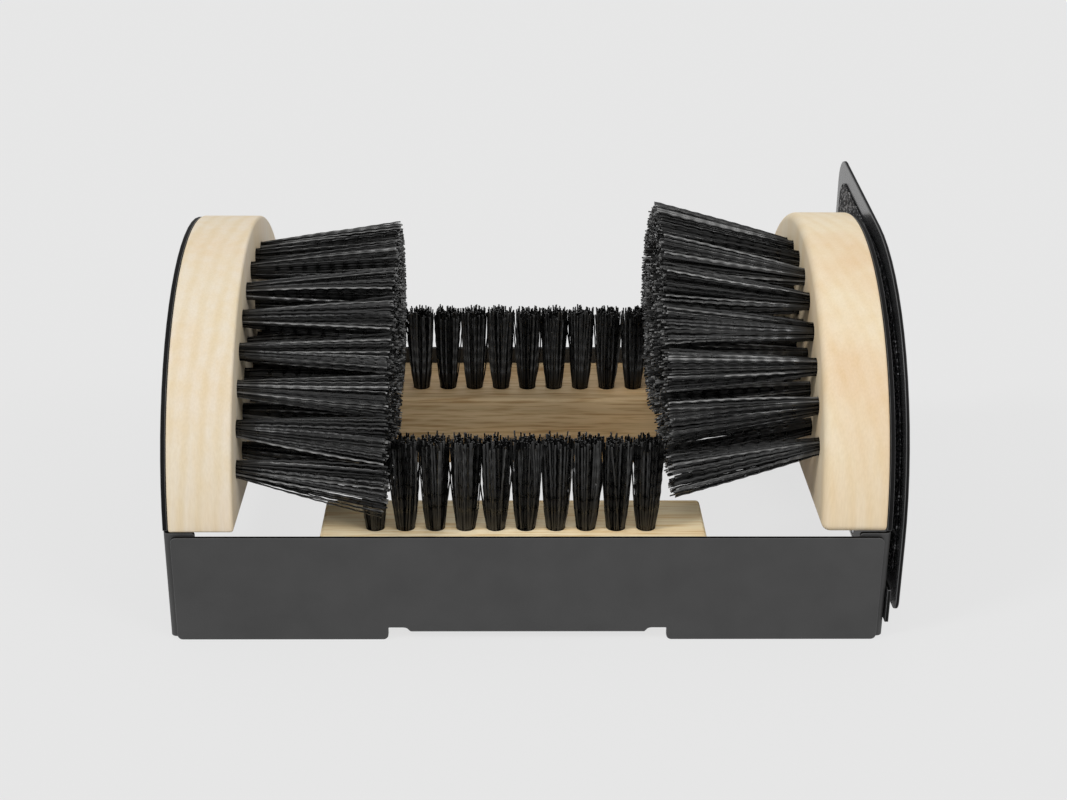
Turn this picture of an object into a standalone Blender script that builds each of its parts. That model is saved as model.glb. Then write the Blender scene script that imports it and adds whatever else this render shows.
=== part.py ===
"""Boot and shoe brush: a folded sheet-steel frame that stands on the floor, with brushes on three
sides of a channel for the shoe and a step plate that folds down beside it.

Metres, +Z up, +Y to the rear. The origin is on the floor, in the middle of the whole object.
"""

import math

import bmesh
import bpy
import numpy as np
from mathutils import Matrix, Vector

# Frame
FRAME_WIDTH = 0.280
FRAME_DEPTH = 0.200
SHEET = 0.0018
BEND_RADIUS = 0.0005
BEND_STEPS = 4
SEAT_GAP = 0.0003
SPOT_WELD_GAP = 0.0003

# Aprons, the low front and rear walls
APRON_HEIGHT = 0.0446
APRON_END_GAP = 0.0030
APRON_CORNER_RADIUS = 0.0020
LEDGE_UNDERSIDE = 0.0026
LEDGE_WIDTH = 0.091
LEDGE_DEPTH = 0.034
LEDGE_CORNER_RADIUS = 0.004
RELIEF_WIDTH = 0.0090
RELIEF_TAB_RADIUS = 0.0032
RELIEF_FOOT_RADIUS = 0.0005
RELIEF_OVER_BEND = 0.0004

# Side plates, arched sheets with a narrow return flange and a foot at the front and rear
LEFT_ARCH_CENTRE_HEIGHT = 0.0389
RIGHT_ARCH_CENTRE_HEIGHT = 0.0409
ARCH_STEPS = 32
PLATE_UNDERSIDE = 0.0003
FLANGE_OVER_APRON = 0.0010
FLANGE_WIDTH = 0.012
FLANGE_CORNER_RADIUS = 0.0010
NOTCH_HEIGHT = 0.0010
PLATE_OPENING_LENGTH = 0.0855
PLATE_OPENING_SHIFT = 0.0043
PLATE_OPENING_TOP = 0.0200
PLATE_OPENING_RADIUS = 0.0035

# Side brushes, the same one on both sides, turned round
SIDE_BLOCK_THICKNESS = 0.025
SIDE_BLOCK_OVERHANG = 0.0005
SIDE_TUFT_EDGE = 0.0139
SIDE_TUFT_ROW_PITCH = 0.017
SIDE_TUFT_PITCH = 0.0157
SIDE_TUFT_LOW_END = 0.0255
SIDE_TUFT_HIGH_END = 0.0323
SIDE_BRISTLE_LENGTH = 0.0590
SIDE_TUFT_STRANDS = 4
SIDE_SPLAY_DEPTH_SHARE = 0.17
LEFT_SPLAY_HEIGHT_SHARE = 0.15
RIGHT_SPLAY_HEIGHT_SHARE = 0.38

# Bottom brushes
BOTTOM_BLOCK_LENGTH = 0.1524
BOTTOM_BLOCK_DEPTH = 0.046
BOTTOM_BLOCK_TOP = 0.0376
BOTTOM_BLOCK_SHIFT = -0.0055
BOTTOM_TUFTS = 10
FRONT_TUFT_PITCH = 0.0119
REAR_TUFT_PITCH = 0.0124
FRONT_ROW_SHIFT = -0.0018
REAR_ROW_SHIFT = -0.0078
ROW_SLIDE = 0.0011
BOTTOM_BRISTLE_LENGTH = 0.0377
BOTTOM_TUFT_STRANDS = 6

# Bristles and the wood face that holds them
FACE_SLICE = 0.0015
WOOD_EDGE = 0.0012
WOOD_CORNER_RADIUS = 0.0018
TUFT_RING_RADIUS = 0.0024
SIDE_TUFT_TIP_RADIUS = 0.0052
BOTTOM_TUFT_TIP_RADIUS = 0.0046
STRAND_ROOT_RADIUS = 0.0009
STRAND_TIP_RADIUS = 0.0006
STRAND_SINK = 0.0006
STRAND_SIDES = 3
STRAND_CLEARANCE = 0.0012

# Step plate and its hinge
STEP_SHEET = 0.0015
HINGE_PIN_RADIUS = 0.0009
HINGE_RUNNING_GAP = 0.0001
HINGE_HEIGHT = 0.0032
HINGE_PLACES = (-0.058, 0.066)
HINGE_LENGTH = 0.030
HINGE_KNUCKLES = 3
HINGE_CURL_DEGREES = 270
HINGE_CURL_STEPS = 10
KNUCKLE_END_GAP = 0.0004
KNUCKLE_NOTCH_GAP = 0.0005
LEAF_TOP = 0.0210
LEAF_FRONT = -0.0985
LEAF_REAR = 0.088
LEAF_END_UNDERSIDE = 0.0068
LEAF_BRIDGE_UNDERSIDE = 0.0145
STEP_ARCH_RADIUS = 0.0988
STEP_ARCH_CENTRE_HEIGHT = 0.0417
STEP_TOP_SLOPE_DEGREES = 4.0
STEP_REAR_REACH = 0.0815
STEP_UNDERSIDE = 0.0110
STEP_REAR_CORNER_RADIUS = 0.011
STEP_FOOT_CORNER_RADIUS = 0.005
PAD_THICKNESS = 0.0004
PAD_EDGE = 0.0075
PAD_REAR_EDGE = 0.0085
PAD_OVER_LEAF = 0.0030
PAD_REAR_CORNER_RADIUS = 0.010
PAD_FOOT_CORNER_RADIUS = 0.0040

# Fasteners
SCREW_SHANK_RADIUS = 0.0016
SCREW_HEAD_RADIUS = 0.0036
SCREW_HEAD_HEIGHT = 0.0014
SCREW_CROWN_SHARE = 0.7
SCREW_RIM_SHARE = 0.4
SCREW_TIP_LENGTH = 0.0040
SCREW_RECESS_RADIUS = 0.0013
SCREW_RECESS_DEPTH = 0.0008
SIDE_SCREW_LENGTH = 0.0170
BOTTOM_SCREW_LENGTH = 0.0160
SIDE_SCREW_SPREAD = 0.055
SIDE_SCREW_FOOT = 0.016
SIDE_SCREW_TOP = 0.070
BOTTOM_SCREW_SPREAD = 0.030
RIVET_SHANK_RADIUS = 0.0015
RIVET_HEAD_RADIUS = 0.0030
RIVET_HEAD_HEIGHT = 0.0008
RIVET_CROWN_SHARE = 0.6
RIVET_RISE_SHARE = 0.85
RIVET_SPREAD = 0.008
HOLE_GAP = 0.0003
ROUND_STEPS = 12
CORNER_STEPS = 6
CUT_OVERRUN = 0.001
MERGE_DISTANCE = 0.00001
SHARP_DEGREES = 40

# Places worked out from the sizes above
side_outer = FRAME_WIDTH / 2
side_inner = side_outer - SHEET
flange_face = FRAME_DEPTH / 2 - SHEET - SPOT_WELD_GAP
arch_centres = {-1: LEFT_ARCH_CENTRE_HEIGHT, 1: RIGHT_ARCH_CENTRE_HEIGHT}
height_splays = {-1: LEFT_SPLAY_HEIGHT_SHARE, 1: RIGHT_SPLAY_HEIGHT_SHARE}
flange_top = APRON_HEIGHT + FLANGE_OVER_APRON
side_block_bottom = flange_top + SEAT_GAP
hinge_inner_radius = HINGE_PIN_RADIUS + HINGE_RUNNING_GAP
hinge_outer_radius = hinge_inner_radius + STEP_SHEET
hinge_offset = side_outer + SEAT_GAP + hinge_outer_radius
step_outer = hinge_offset + hinge_outer_radius
bottom_row = FRAME_DEPTH / 2 - SHEET - SEAT_GAP - BOTTOM_BLOCK_DEPTH / 2
tuft_rows = {-1: FRONT_ROW_SHIFT - bottom_row, 1: REAR_ROW_SHIFT + bottom_row}
screw_reach = side_outer + SEAT_GAP + SCREW_HEAD_HEIGHT
mid_x = (screw_reach - step_outer) / 2


def clear_scene():
    for obj in list(bpy.data.objects):
        bpy.data.objects.remove(obj, do_unlink=True)


clear_scene()
parts = bpy.data.collections.new("shoe_brush")
cutters = bpy.data.collections.new("cutters")
bpy.context.scene.collection.children.link(parts)
bpy.context.scene.collection.children.link(cutters)


def make_material(name, colour, roughness, metallic=0.0):
    material = bpy.data.materials.new(name)
    material.use_nodes = True
    shader = material.node_tree.nodes["Principled BSDF"]
    shader.inputs["Base Color"].default_value = (*colour, 1.0)
    shader.inputs["Roughness"].default_value = roughness
    shader.inputs["Metallic"].default_value = metallic
    material.diffuse_color = (*colour, 1.0)
    return material


powder_coat = make_material("anthracite_powder_coat", (0.055, 0.057, 0.062), 0.55)
beech = make_material("pale_beech", (0.70, 0.56, 0.38), 0.60)
bristle = make_material("black_bristle", (0.010, 0.010, 0.011), 0.50)
pad_grit = make_material("grit_pad", (0.025, 0.025, 0.027), 0.95)
zinc = make_material("zinc_steel", (0.62, 0.62, 0.64), 0.35, 1.0)


def arc(centre, radius, start, end, steps):
    """Points on an arc, from the start to the end angle in degrees, ends included."""
    turns = np.radians(np.linspace(start, end, steps + 1))
    return [(centre[0] + radius * math.cos(a), centre[1] + radius * math.sin(a)) for a in turns]


def rounded(corners, radii):
    """A closed outline through the corners, each cut off by an arc of its own radius."""
    points = []
    count = len(corners)
    for i, corner in enumerate(corners):
        here = Vector(corner)
        back = (Vector(corners[i - 1]) - here).normalized()
        ahead = (Vector(corners[(i + 1) % count]) - here).normalized()
        if radii[i] == 0:
            points.append((here.x, here.y))
            continue
        half = back.angle(ahead) / 2
        centre = here + (back + ahead).normalized() * radii[i] / math.sin(half)
        first = here + back * radii[i] / math.tan(half) - centre
        last = here + ahead * radii[i] / math.tan(half) - centre
        sweep = first.angle_signed(last)
        for k in range(CORNER_STEPS + 1):
            turned = first.copy()
            turned.rotate(Matrix.Rotation(-sweep * k / CORNER_STEPS, 2))
            points.append(tuple(centre + turned))
    return points


def circle(centre, radius):
    return arc(centre, radius, 0, 360, ROUND_STEPS)[:-1]


def without_repeats(points):
    kept = []
    for point in points:
        if not kept or (Vector(point) - Vector(kept[-1])).length > MERGE_DISTANCE:
            kept.append(point)
    if (Vector(kept[0]) - Vector(kept[-1])).length < MERGE_DISTANCE:
        kept.pop()
    return kept


def flat_mesh(name, outline, holes, thickness):
    """A sheet in the XY plane, centred on z = 0, from one closed outline and its holes."""
    curve = bpy.data.curves.new(name + "_outline", "CURVE")
    curve.dimensions = "2D"
    curve.fill_mode = "BOTH"
    curve.extrude = thickness / 2
    for points in [without_repeats(outline)] + holes:
        spline = curve.splines.new("POLY")
        spline.points.add(len(points) - 1)
        for point, place in zip(spline.points, points):
            point.co = (*place, 0, 1)
        spline.use_cyclic_u = True
    guide = bpy.data.objects.new(name + "_outline", curve)
    bpy.context.scene.collection.objects.link(guide)
    bpy.context.view_layer.update()
    graph = bpy.context.evaluated_depsgraph_get()
    mesh = bpy.data.meshes.new_from_object(guide.evaluated_get(graph))
    bpy.data.objects.remove(guide, do_unlink=True)
    bpy.data.curves.remove(curve)
    sheet = bmesh.new()
    sheet.from_mesh(mesh)
    bmesh.ops.remove_doubles(sheet, verts=sheet.verts, dist=MERGE_DISTANCE)
    bmesh.ops.recalc_face_normals(sheet, faces=sheet.faces)
    bpy.data.meshes.remove(mesh)
    return sheet


def fold(sheet, thickness, start, direction, degrees, steps, belongs):
    """Bends the part of a flat sheet that lies past a straight line, towards +Z.

    The line is square to the direction, at the start distance from the origin. Past it the sheet
    follows an arc of BEND_RADIUS, or of the hinge pin's hole, and then runs straight.
    """
    inner = hinge_inner_radius if degrees > 90 else BEND_RADIUS
    middle = inner + thickness / 2
    whole = math.radians(degrees)
    way = Vector((*direction, 0))
    for k in range(steps + 1):
        place = way * (start + middle * whole * k / steps)
        geometry = list(sheet.verts) + list(sheet.edges) + list(sheet.faces)
        bmesh.ops.bisect_plane(sheet, geom=geometry, dist=MERGE_DISTANCE, plane_co=place, plane_no=way)
    for vert in sheet.verts:
        past = vert.co.dot(way) - start
        if past <= 0 or not belongs(vert.co):
            continue
        turn = min(past / middle, whole)
        straight = past - middle * turn
        reach = middle - vert.co.z
        along = reach * math.sin(turn) + straight * math.cos(turn)
        height = middle - reach * math.cos(turn) + straight * math.sin(turn)
        vert.co += way * (along - past)
        vert.co.z = height


def placed(obj, x_axis, y_axis, origin):
    """Puts a local sheet in the world: where its X and Y point, and where its origin goes."""
    across = Vector(x_axis)
    up = Vector(y_axis)
    turn = Matrix((across, up, across.cross(up))).transposed().to_4x4()
    obj.matrix_world = Matrix.Translation(origin) @ turn


def add_part(name, mesh, material, collection=None):
    if isinstance(mesh, bmesh.types.BMesh):
        bmesh.ops.recalc_face_normals(mesh, faces=mesh.faces)
        data = bpy.data.meshes.new(name)
        mesh.to_mesh(data)
        mesh.free()
    else:
        data = mesh
    data.shade_smooth()
    data.set_sharp_from_angle(angle=math.radians(SHARP_DEGREES))
    obj = bpy.data.objects.new(name, data)
    (collection or parts).objects.link(obj)
    if material:
        data.materials.append(material)
    return obj


def boolean(obj, other, operation):
    modifier = obj.modifiers.new(other.name, "BOOLEAN")
    modifier.operation = operation
    modifier.solver = "EXACT"
    modifier.object = other
    other.hide_render = True
    other.display_type = "WIRE"


def soften(block):
    """Rounds off a wood block's sharp edges."""
    bevel = block.modifiers.new("soft_edges", "BEVEL")
    bevel.width = WOOD_EDGE
    bevel.segments = 1
    bevel.limit_method = "ANGLE"
    bevel.angle_limit = math.radians(SHARP_DEGREES)


def rods(name, rod_list, radius):
    """One cutter of round rods, each from a start to an end point in the world."""
    joined = bmesh.new()
    for start, end in rod_list:
        run = Vector(end) - Vector(start)
        turn = run.to_track_quat("Z", "Y").to_matrix().to_4x4()
        place = Matrix.Translation((Vector(start) + Vector(end)) / 2) @ turn
        bmesh.ops.create_cone(
            joined,
            cap_ends=True,
            segments=ROUND_STEPS,
            radius1=radius,
            radius2=radius,
            depth=run.length,
            matrix=place,
        )
    return add_part(name, joined, None, cutters)


# Aprons


def apron_outline():
    """The flat blank: a long wall on two feet, with a tab between two reliefs for the ledge."""
    half = FRAME_WIDTH / 2 - APRON_END_GAP
    tab = LEDGE_WIDTH / 2
    relief_top = LEDGE_UNDERSIDE + SHEET + BEND_RADIUS + RELIEF_OVER_BEND
    bend_start = LEDGE_UNDERSIDE + SHEET + BEND_RADIUS
    developed = math.pi / 2 * (BEND_RADIUS + SHEET / 2)
    tab_end = bend_start - developed - (LEDGE_DEPTH - SHEET - BEND_RADIUS)
    soft = APRON_CORNER_RADIUS
    tip = LEDGE_CORNER_RADIUS
    right = [
        ((tab, tab_end), tip),
        ((tab, relief_top), RELIEF_TAB_RADIUS),
        ((tab + RELIEF_WIDTH, relief_top), RELIEF_FOOT_RADIUS),
        ((tab + RELIEF_WIDTH, 0), soft),
        ((half, 0), soft),
        ((half, APRON_HEIGHT), soft),
    ]
    left = [((-x, y), radius) for (x, y), radius in reversed(right)]
    corners = [corner for corner, _ in right + left]
    radii = [radius for _, radius in right + left]
    return rounded(corners, radii), bend_start


def bottom_screw_places(side):
    """(x, y) of the screws under the front (side -1) or rear (side 1) bottom block."""
    shift = mid_x + BOTTOM_BLOCK_SHIFT
    return [(shift + end * BOTTOM_SCREW_SPREAD, side * bottom_row) for end in (-1, 1)]


def make_apron(name, side):
    outline, bend_start = apron_outline()
    blank = flat_mesh(name, outline, [], SHEET)
    tab_edge = LEDGE_WIDTH / 2 + RELIEF_WIDTH / 4
    fold(blank, SHEET, -bend_start, (0, -1), 90, BEND_STEPS, lambda co: abs(co.x) < tab_edge)
    apron = add_part(name, blank, powder_coat)
    placed(apron, (side, 0, 0), (0, 0, 1), (mid_x, side * (FRAME_DEPTH / 2 - SHEET / 2), 0))
    top = LEDGE_UNDERSIDE + SHEET
    holes = [((x, y, -CUT_OVERRUN), (x, y, top + CUT_OVERRUN)) for x, y in bottom_screw_places(side)]
    boolean(apron, rods(name + "_holes", holes, SCREW_SHANK_RADIUS + HOLE_GAP), "DIFFERENCE")


make_apron("front_apron", -1)
make_apron("rear_apron", 1)

# Side plates


def arch(radius, centre_height, foot, steps):
    """Half an arch, from its front foot height over the crown to the rear one, as (y, z) points."""
    low = math.degrees(math.asin((foot - centre_height) / radius))
    return arc((0, centre_height), radius, low, 180 - low, steps)


def side_screw_places():
    """(y, z) of the three screws that hold a side block."""
    foot = side_block_bottom + SIDE_SCREW_FOOT
    return [(-SIDE_SCREW_SPREAD, foot), (SIDE_SCREW_SPREAD, foot), (0, side_block_bottom + SIDE_SCREW_TOP)]


def rivet_places():
    height = (LEAF_TOP + HINGE_HEIGHT + hinge_outer_radius) / 2
    return [(middle + end * RIVET_SPREAD, height) for middle in HINGE_PLACES for end in (-1, 1)]


def plate_opening():
    """The corners of the opening between a side plate's feet, each with its radius.

    Seen from outside, it lies further to the left, so the same plate turned round fits the other side.
    """
    first = -PLATE_OPENING_SHIFT - PLATE_OPENING_LENGTH / 2
    last = first + PLATE_OPENING_LENGTH
    return [
        ((first, PLATE_UNDERSIDE), 0),
        ((first, PLATE_OPENING_TOP), PLATE_OPENING_RADIUS),
        ((last, PLATE_OPENING_TOP), PLATE_OPENING_RADIUS),
        ((last, PLATE_UNDERSIDE), 0),
    ]


def make_side_plate(name, side):
    bend_start = flange_face - BEND_RADIUS - SHEET
    middle = BEND_RADIUS + SHEET / 2
    reach = bend_start + math.pi / 2 * middle + FLANGE_WIDTH - SHEET - BEND_RADIUS
    notch_top = flange_top + NOTCH_HEIGHT
    crown = arch(flange_face, arch_centres[side], notch_top, ARCH_STEPS)
    flange = [
        ((reach, PLATE_UNDERSIDE), FLANGE_CORNER_RADIUS),
        ((reach, flange_top), FLANGE_CORNER_RADIUS),
        ((bend_start, flange_top), 0),
        ((bend_start, notch_top), 0),
    ]
    flange += [(point, 0) for point in crown[: ARCH_STEPS // 2 + 1]]
    whole = flange + [((-x, y), radius) for (x, y), radius in reversed(flange[:-1])] + plate_opening()
    outline = rounded([corner for corner, _ in whole], [radius for _, radius in whole])
    holes = [circle(place, SCREW_SHANK_RADIUS + HOLE_GAP) for place in side_screw_places()]
    if side > 0:
        holes += [circle((-side * y, z), RIVET_SHANK_RADIUS + HOLE_GAP) for y, z in rivet_places()]
    blank = flat_mesh(name, outline, holes, SHEET)
    lip = flange_top + NOTCH_HEIGHT / 2
    for way in (1, -1):
        fold(blank, SHEET, bend_start, (way, 0), 90, BEND_STEPS, lambda co: co.y < lip)
    plate = add_part(name, blank, powder_coat)
    placed(plate, (0, -side, 0), (0, 0, 1), (mid_x + side * (side_outer - SHEET / 2), 0, 0))


make_side_plate("left_side_plate", -1)
make_side_plate("right_side_plate", 1)

# Strands


def strand_mesh(roots, tips, across):
    """Closed, tapered strands with STRAND_SIDES sides, worked out as whole arrays.

    roots and tips are (n, 3) points, and across is the unit direction that the strands leave in.
    """
    turns = np.arange(STRAND_SIDES) * 2 * math.pi / STRAND_SIDES
    axis = np.asarray(across, float)
    first = np.roll(np.abs(axis), 1)
    second = np.cross(axis, first)
    ring = np.cos(turns)[:, None] * first + np.sin(turns)[:, None] * second
    low = roots[:, None, :] + ring[None] * STRAND_ROOT_RADIUS
    high = tips[:, None, :] + ring[None] * STRAND_TIP_RADIUS
    joined = bmesh.new()
    for lower, upper in zip(low, high):
        bottom = [joined.verts.new(point) for point in lower]
        top = [joined.verts.new(point) for point in upper]
        joined.faces.new(bottom)
        joined.faces.new(top)
        for k in range(STRAND_SIDES):
            n = (k + 1) % STRAND_SIDES
            joined.faces.new((bottom[k], bottom[n], top[n], top[k]))
    return joined


def tuft_offsets(count):
    """Unit offsets of a tuft's strands: one in the middle and the rest in a ring round it."""
    turns = np.arange(count - 1) * 2 * math.pi / (count - 1) + math.pi / 4
    ring = np.column_stack([np.cos(turns), np.sin(turns)])
    return np.vstack([[0, 0], ring])


# Bottom brushes


def bottom_strand_ends(side):
    """Roots and tips, as (n, 3) points, of the front (side -1) or rear (side 1) row of tufts."""
    pitch = FRONT_TUFT_PITCH if side < 0 else REAR_TUFT_PITCH
    places = (np.arange(BOTTOM_TUFTS) - (BOTTOM_TUFTS - 1) / 2) * pitch
    row = np.full(BOTTOM_TUFTS, tuft_rows[side])
    middle = mid_x + BOTTOM_BLOCK_SHIFT + side * ROW_SLIDE
    centres = np.column_stack([middle + places, row])
    offsets = tuft_offsets(BOTTOM_TUFT_STRANDS)
    low = (centres[:, None] + offsets[None] * TUFT_RING_RADIUS).reshape(-1, 2)
    high = (centres[:, None] + offsets[None] * BOTTOM_TUFT_TIP_RADIUS).reshape(-1, 2)
    root_z = np.full((len(low), 1), BOTTOM_BLOCK_TOP - STRAND_SINK)
    tip_z = np.full((len(high), 1), BOTTOM_BLOCK_TOP + BOTTOM_BRISTLE_LENGTH)
    return np.hstack([low, root_z]), np.hstack([high, tip_z])


def make_bottom_brush(word, side):
    half_length = BOTTOM_BLOCK_LENGTH / 2
    half_depth = BOTTOM_BLOCK_DEPTH / 2
    low = LEDGE_UNDERSIDE + SHEET + SEAT_GAP
    high = BOTTOM_BLOCK_TOP - FACE_SLICE - SEAT_GAP

    def plan(inset):
        x = half_length - inset
        y = half_depth - inset
        return rounded([(-x, -y), (x, -y), (x, y), (-x, y)], [WOOD_CORNER_RADIUS - inset] * 4)

    middle = (mid_x + BOTTOM_BLOCK_SHIFT, side * bottom_row)
    name = word + "_brush_block"
    block = add_part(name, flat_mesh(name, plan(0), [], high - low), beech)
    block.location = (*middle, (low + high) / 2)
    soften(block)
    pilots = []
    for x, y in bottom_screw_places(side):
        pilots.append(((x, y, low - CUT_OVERRUN), (x, y, low + BOTTOM_SCREW_LENGTH)))
    boolean(block, rods(name + "_pilots", pilots, SCREW_SHANK_RADIUS + HOLE_GAP), "DIFFERENCE")

    name = word + "_bristles"
    face = add_part(name, flat_mesh(name, plan(WOOD_EDGE), [], FACE_SLICE), bristle)
    face.location = (*middle, BOTTOM_BLOCK_TOP - FACE_SLICE / 2)
    strands = strand_mesh(*bottom_strand_ends(side), (0, 0, 1))
    boolean(face, add_part(name + "_strands", strands, None, cutters), "UNION")


make_bottom_brush("front", -1)
make_bottom_brush("rear", 1)

# Side brushes

side_block_outer = side_inner - SEAT_GAP
side_block_inner = side_block_outer - SIDE_BLOCK_THICKNESS


def side_tuft_places(side):
    """(y, z) of a side block's tufts, in rows that follow the arch, as many as the block takes.

    Every row starts lower at one end than at the other. The low end is the front one on the left
    block, and the rear one on the right block.
    """
    places = []
    outermost = flange_face - SIDE_TUFT_EDGE
    for row in range(1 + int((outermost - SIDE_TUFT_HIGH_END) / SIDE_TUFT_ROW_PITCH)):
        radius = outermost - row * SIDE_TUFT_ROW_PITCH
        low = math.asin(SIDE_TUFT_LOW_END / radius)
        sweep = math.pi - low - math.asin(SIDE_TUFT_HIGH_END / radius)
        gaps = round(radius * sweep / SIDE_TUFT_PITCH)
        for k in range(gaps + 1):
            turn = low + sweep * k / gaps
            places.append((side * radius * math.cos(turn), arch_centres[side] + radius * math.sin(turn)))
    return np.array(places)


def side_strand_ends(side):
    """Roots and tips, as (n, 3) points, of the left (side -1) or right (side 1) brush.

    The tufts splay away from the middle of the brush. A strand that would meet an end tuft of the
    front or rear row stops short of it.
    """
    centres = side_tuft_places(side)
    middle = (centres[:, 1].min() + centres[:, 1].max()) / 2
    splay = (centres - [0, middle]) * [SIDE_SPLAY_DEPTH_SHARE, height_splays[side]]
    offsets = tuft_offsets(SIDE_TUFT_STRANDS)
    starts = (centres[:, None] + offsets[None] * TUFT_RING_RADIUS).reshape(-1, 2)
    ends = ((centres + splay)[:, None] + offsets[None] * SIDE_TUFT_TIP_RADIUS).reshape(-1, 2)
    around = BOTTOM_TUFT_TIP_RADIUS + STRAND_TIP_RADIUS + STRAND_CLEARANCE
    pitch = max(FRONT_TUFT_PITCH, REAR_TUFT_PITCH)
    row_end = side * BOTTOM_BLOCK_SHIFT + ROW_SLIDE + (BOTTOM_TUFTS - 1) / 2 * pitch + around
    row_top = BOTTOM_BLOCK_TOP + BOTTOM_BRISTLE_LENGTH + STRAND_TIP_RADIUS + STRAND_CLEARANCE
    kept_share = min(1.0, (side_block_inner - row_end) / SIDE_BRISTLE_LENGTH)
    near = np.zeros(len(starts), bool)
    for share in np.linspace(kept_share, 1.0, CORNER_STEPS):
        there = starts + (ends - starts) * share
        beside_row = np.abs(there[:, :1] - list(tuft_rows.values())).min(axis=1) < around
        near |= beside_row & (there[:, 1] < row_top)
    shares = np.where(near, kept_share, 1.0)[:, None]
    ends = starts + (ends - starts) * shares
    root_x = np.full((len(starts), 1), mid_x + side * (side_block_inner + STRAND_SINK))
    tip_x = mid_x + side * (side_block_inner - SIDE_BRISTLE_LENGTH * shares)
    return np.hstack([root_x, starts]), np.hstack([tip_x, ends])


def make_side_brush(word, side):
    body = SIDE_BLOCK_THICKNESS - FACE_SLICE - SEAT_GAP

    def outline(inset):
        radius = flange_face + SIDE_BLOCK_OVERHANG - inset
        return arch(radius, arch_centres[side], side_block_bottom + inset, ARCH_STEPS)

    name = word + "_brush_block"
    block = add_part(name, flat_mesh(name, outline(0), [], body), beech)
    placed(block, (0, -side, 0), (0, 0, 1), (mid_x + side * (side_block_outer - body / 2), 0, 0))
    soften(block)
    pilots = []
    for y, z in side_screw_places():
        outside = mid_x + side * (side_block_outer + CUT_OVERRUN)
        inside = mid_x + side * (side_block_outer - SIDE_SCREW_LENGTH)
        pilots.append(((outside, y, z), (inside, y, z)))
    boolean(block, rods(name + "_pilots", pilots, SCREW_SHANK_RADIUS + HOLE_GAP), "DIFFERENCE")

    name = word + "_bristles"
    face = add_part(name, flat_mesh(name, outline(WOOD_EDGE), [], FACE_SLICE), bristle)
    placed(face, (0, -side, 0), (0, 0, 1), (mid_x + side * (side_block_inner + FACE_SLICE / 2), 0, 0))
    strands = strand_mesh(*side_strand_ends(side), (-side, 0, 0))
    boolean(face, add_part(name + "_strands", strands, None, cutters), "UNION")


make_side_brush("left", -1)
make_side_brush("right", 1)

# Step plate and hinge


def knuckle_spans(middle, first):
    """The stretches that one leaf's knuckles take about a hinge's middle, every other from the first."""
    pitch = HINGE_LENGTH / HINGE_KNUCKLES
    spans = []
    for k in range(first, HINGE_KNUCKLES, 2):
        start = middle - HINGE_LENGTH / 2 + k * pitch
        spans.append((start + KNUCKLE_END_GAP / 2, start + pitch - KNUCKLE_END_GAP / 2))
    return spans


def knuckle_edge(spans, notch, developed):
    """The lower edge of a leaf's blank from -Y to +Y, with a tab down for each knuckle."""
    points = []
    for start, end in spans:
        points += [(start, notch), (start, -developed), (end, -developed), (end, notch)]
    return points


def curl(blank):
    fold(blank, STEP_SHEET, 0, (0, -1), HINGE_CURL_DEGREES, HINGE_CURL_STEPS, lambda co: True)


notch_height = hinge_outer_radius + KNUCKLE_NOTCH_GAP
curl_length = math.radians(HINGE_CURL_DEGREES) * (hinge_inner_radius + STEP_SHEET / 2)
sheet_offset = hinge_inner_radius + STEP_SHEET / 2


def make_hinge_leaf():
    """One strip with two hinges in it. It runs lower past them, and higher in the bridge between them."""
    top = LEAF_TOP - HINGE_HEIGHT
    end_foot = LEAF_END_UNDERSIDE - HINGE_HEIGHT
    bridge_foot = LEAF_BRIDGE_UNDERSIDE - HINGE_HEIGHT
    reach = HINGE_LENGTH / 2 + KNUCKLE_NOTCH_GAP
    front, rear = HINGE_PLACES
    levels = [(front - reach, end_foot, bridge_foot), (rear - reach, bridge_foot, end_foot)]
    outline = [(LEAF_FRONT, top), (LEAF_FRONT, end_foot)]
    for start, before, after in levels:
        end = start + 2 * reach
        edge = knuckle_edge(knuckle_spans(start + reach, 0), notch_height, curl_length)
        outline += [(start, before), (start, notch_height)] + edge + [(end, notch_height), (end, after)]
    outline += [(LEAF_REAR, end_foot), (LEAF_REAR, top)]
    holes = [circle((y, z - HINGE_HEIGHT), RIVET_SHANK_RADIUS + HOLE_GAP) for y, z in rivet_places()]
    blank = flat_mesh("hinge_leaf", outline, holes, STEP_SHEET)
    curl(blank)
    leaf = add_part("hinge_leaf", blank, powder_coat)
    placed(leaf, (0, 1, 0), (0, 0, 1), (mid_x + hinge_offset - sheet_offset, 0, HINGE_HEIGHT))


def step_outline(inset, rear, foot, foot_radius, rear_radius):
    """The step plate's outline in (front to rear, height above the hinge), drawn in by the inset.

    The front half is a quarter arch. Its top runs on to the rear end in a straight line that climbs
    a little, down to the foot, and back to the front.
    """
    radius = STEP_ARCH_RADIUS - inset
    centre = STEP_ARCH_CENTRE_HEIGHT - HINGE_HEIGHT
    crown = arc((0, centre), radius, 180, 90 + STEP_TOP_SLOPE_DEGREES, ARCH_STEPS // 2)
    climb = (rear - crown[-1][0]) * math.tan(math.radians(STEP_TOP_SLOPE_DEGREES))
    tail = rounded(
        [crown[-1], (rear, crown[-1][1] + climb), (rear, foot), (-radius, foot), (-radius, centre)],
        [0, rear_radius, foot_radius, foot_radius, 0],
    )
    return crown, tail


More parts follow.
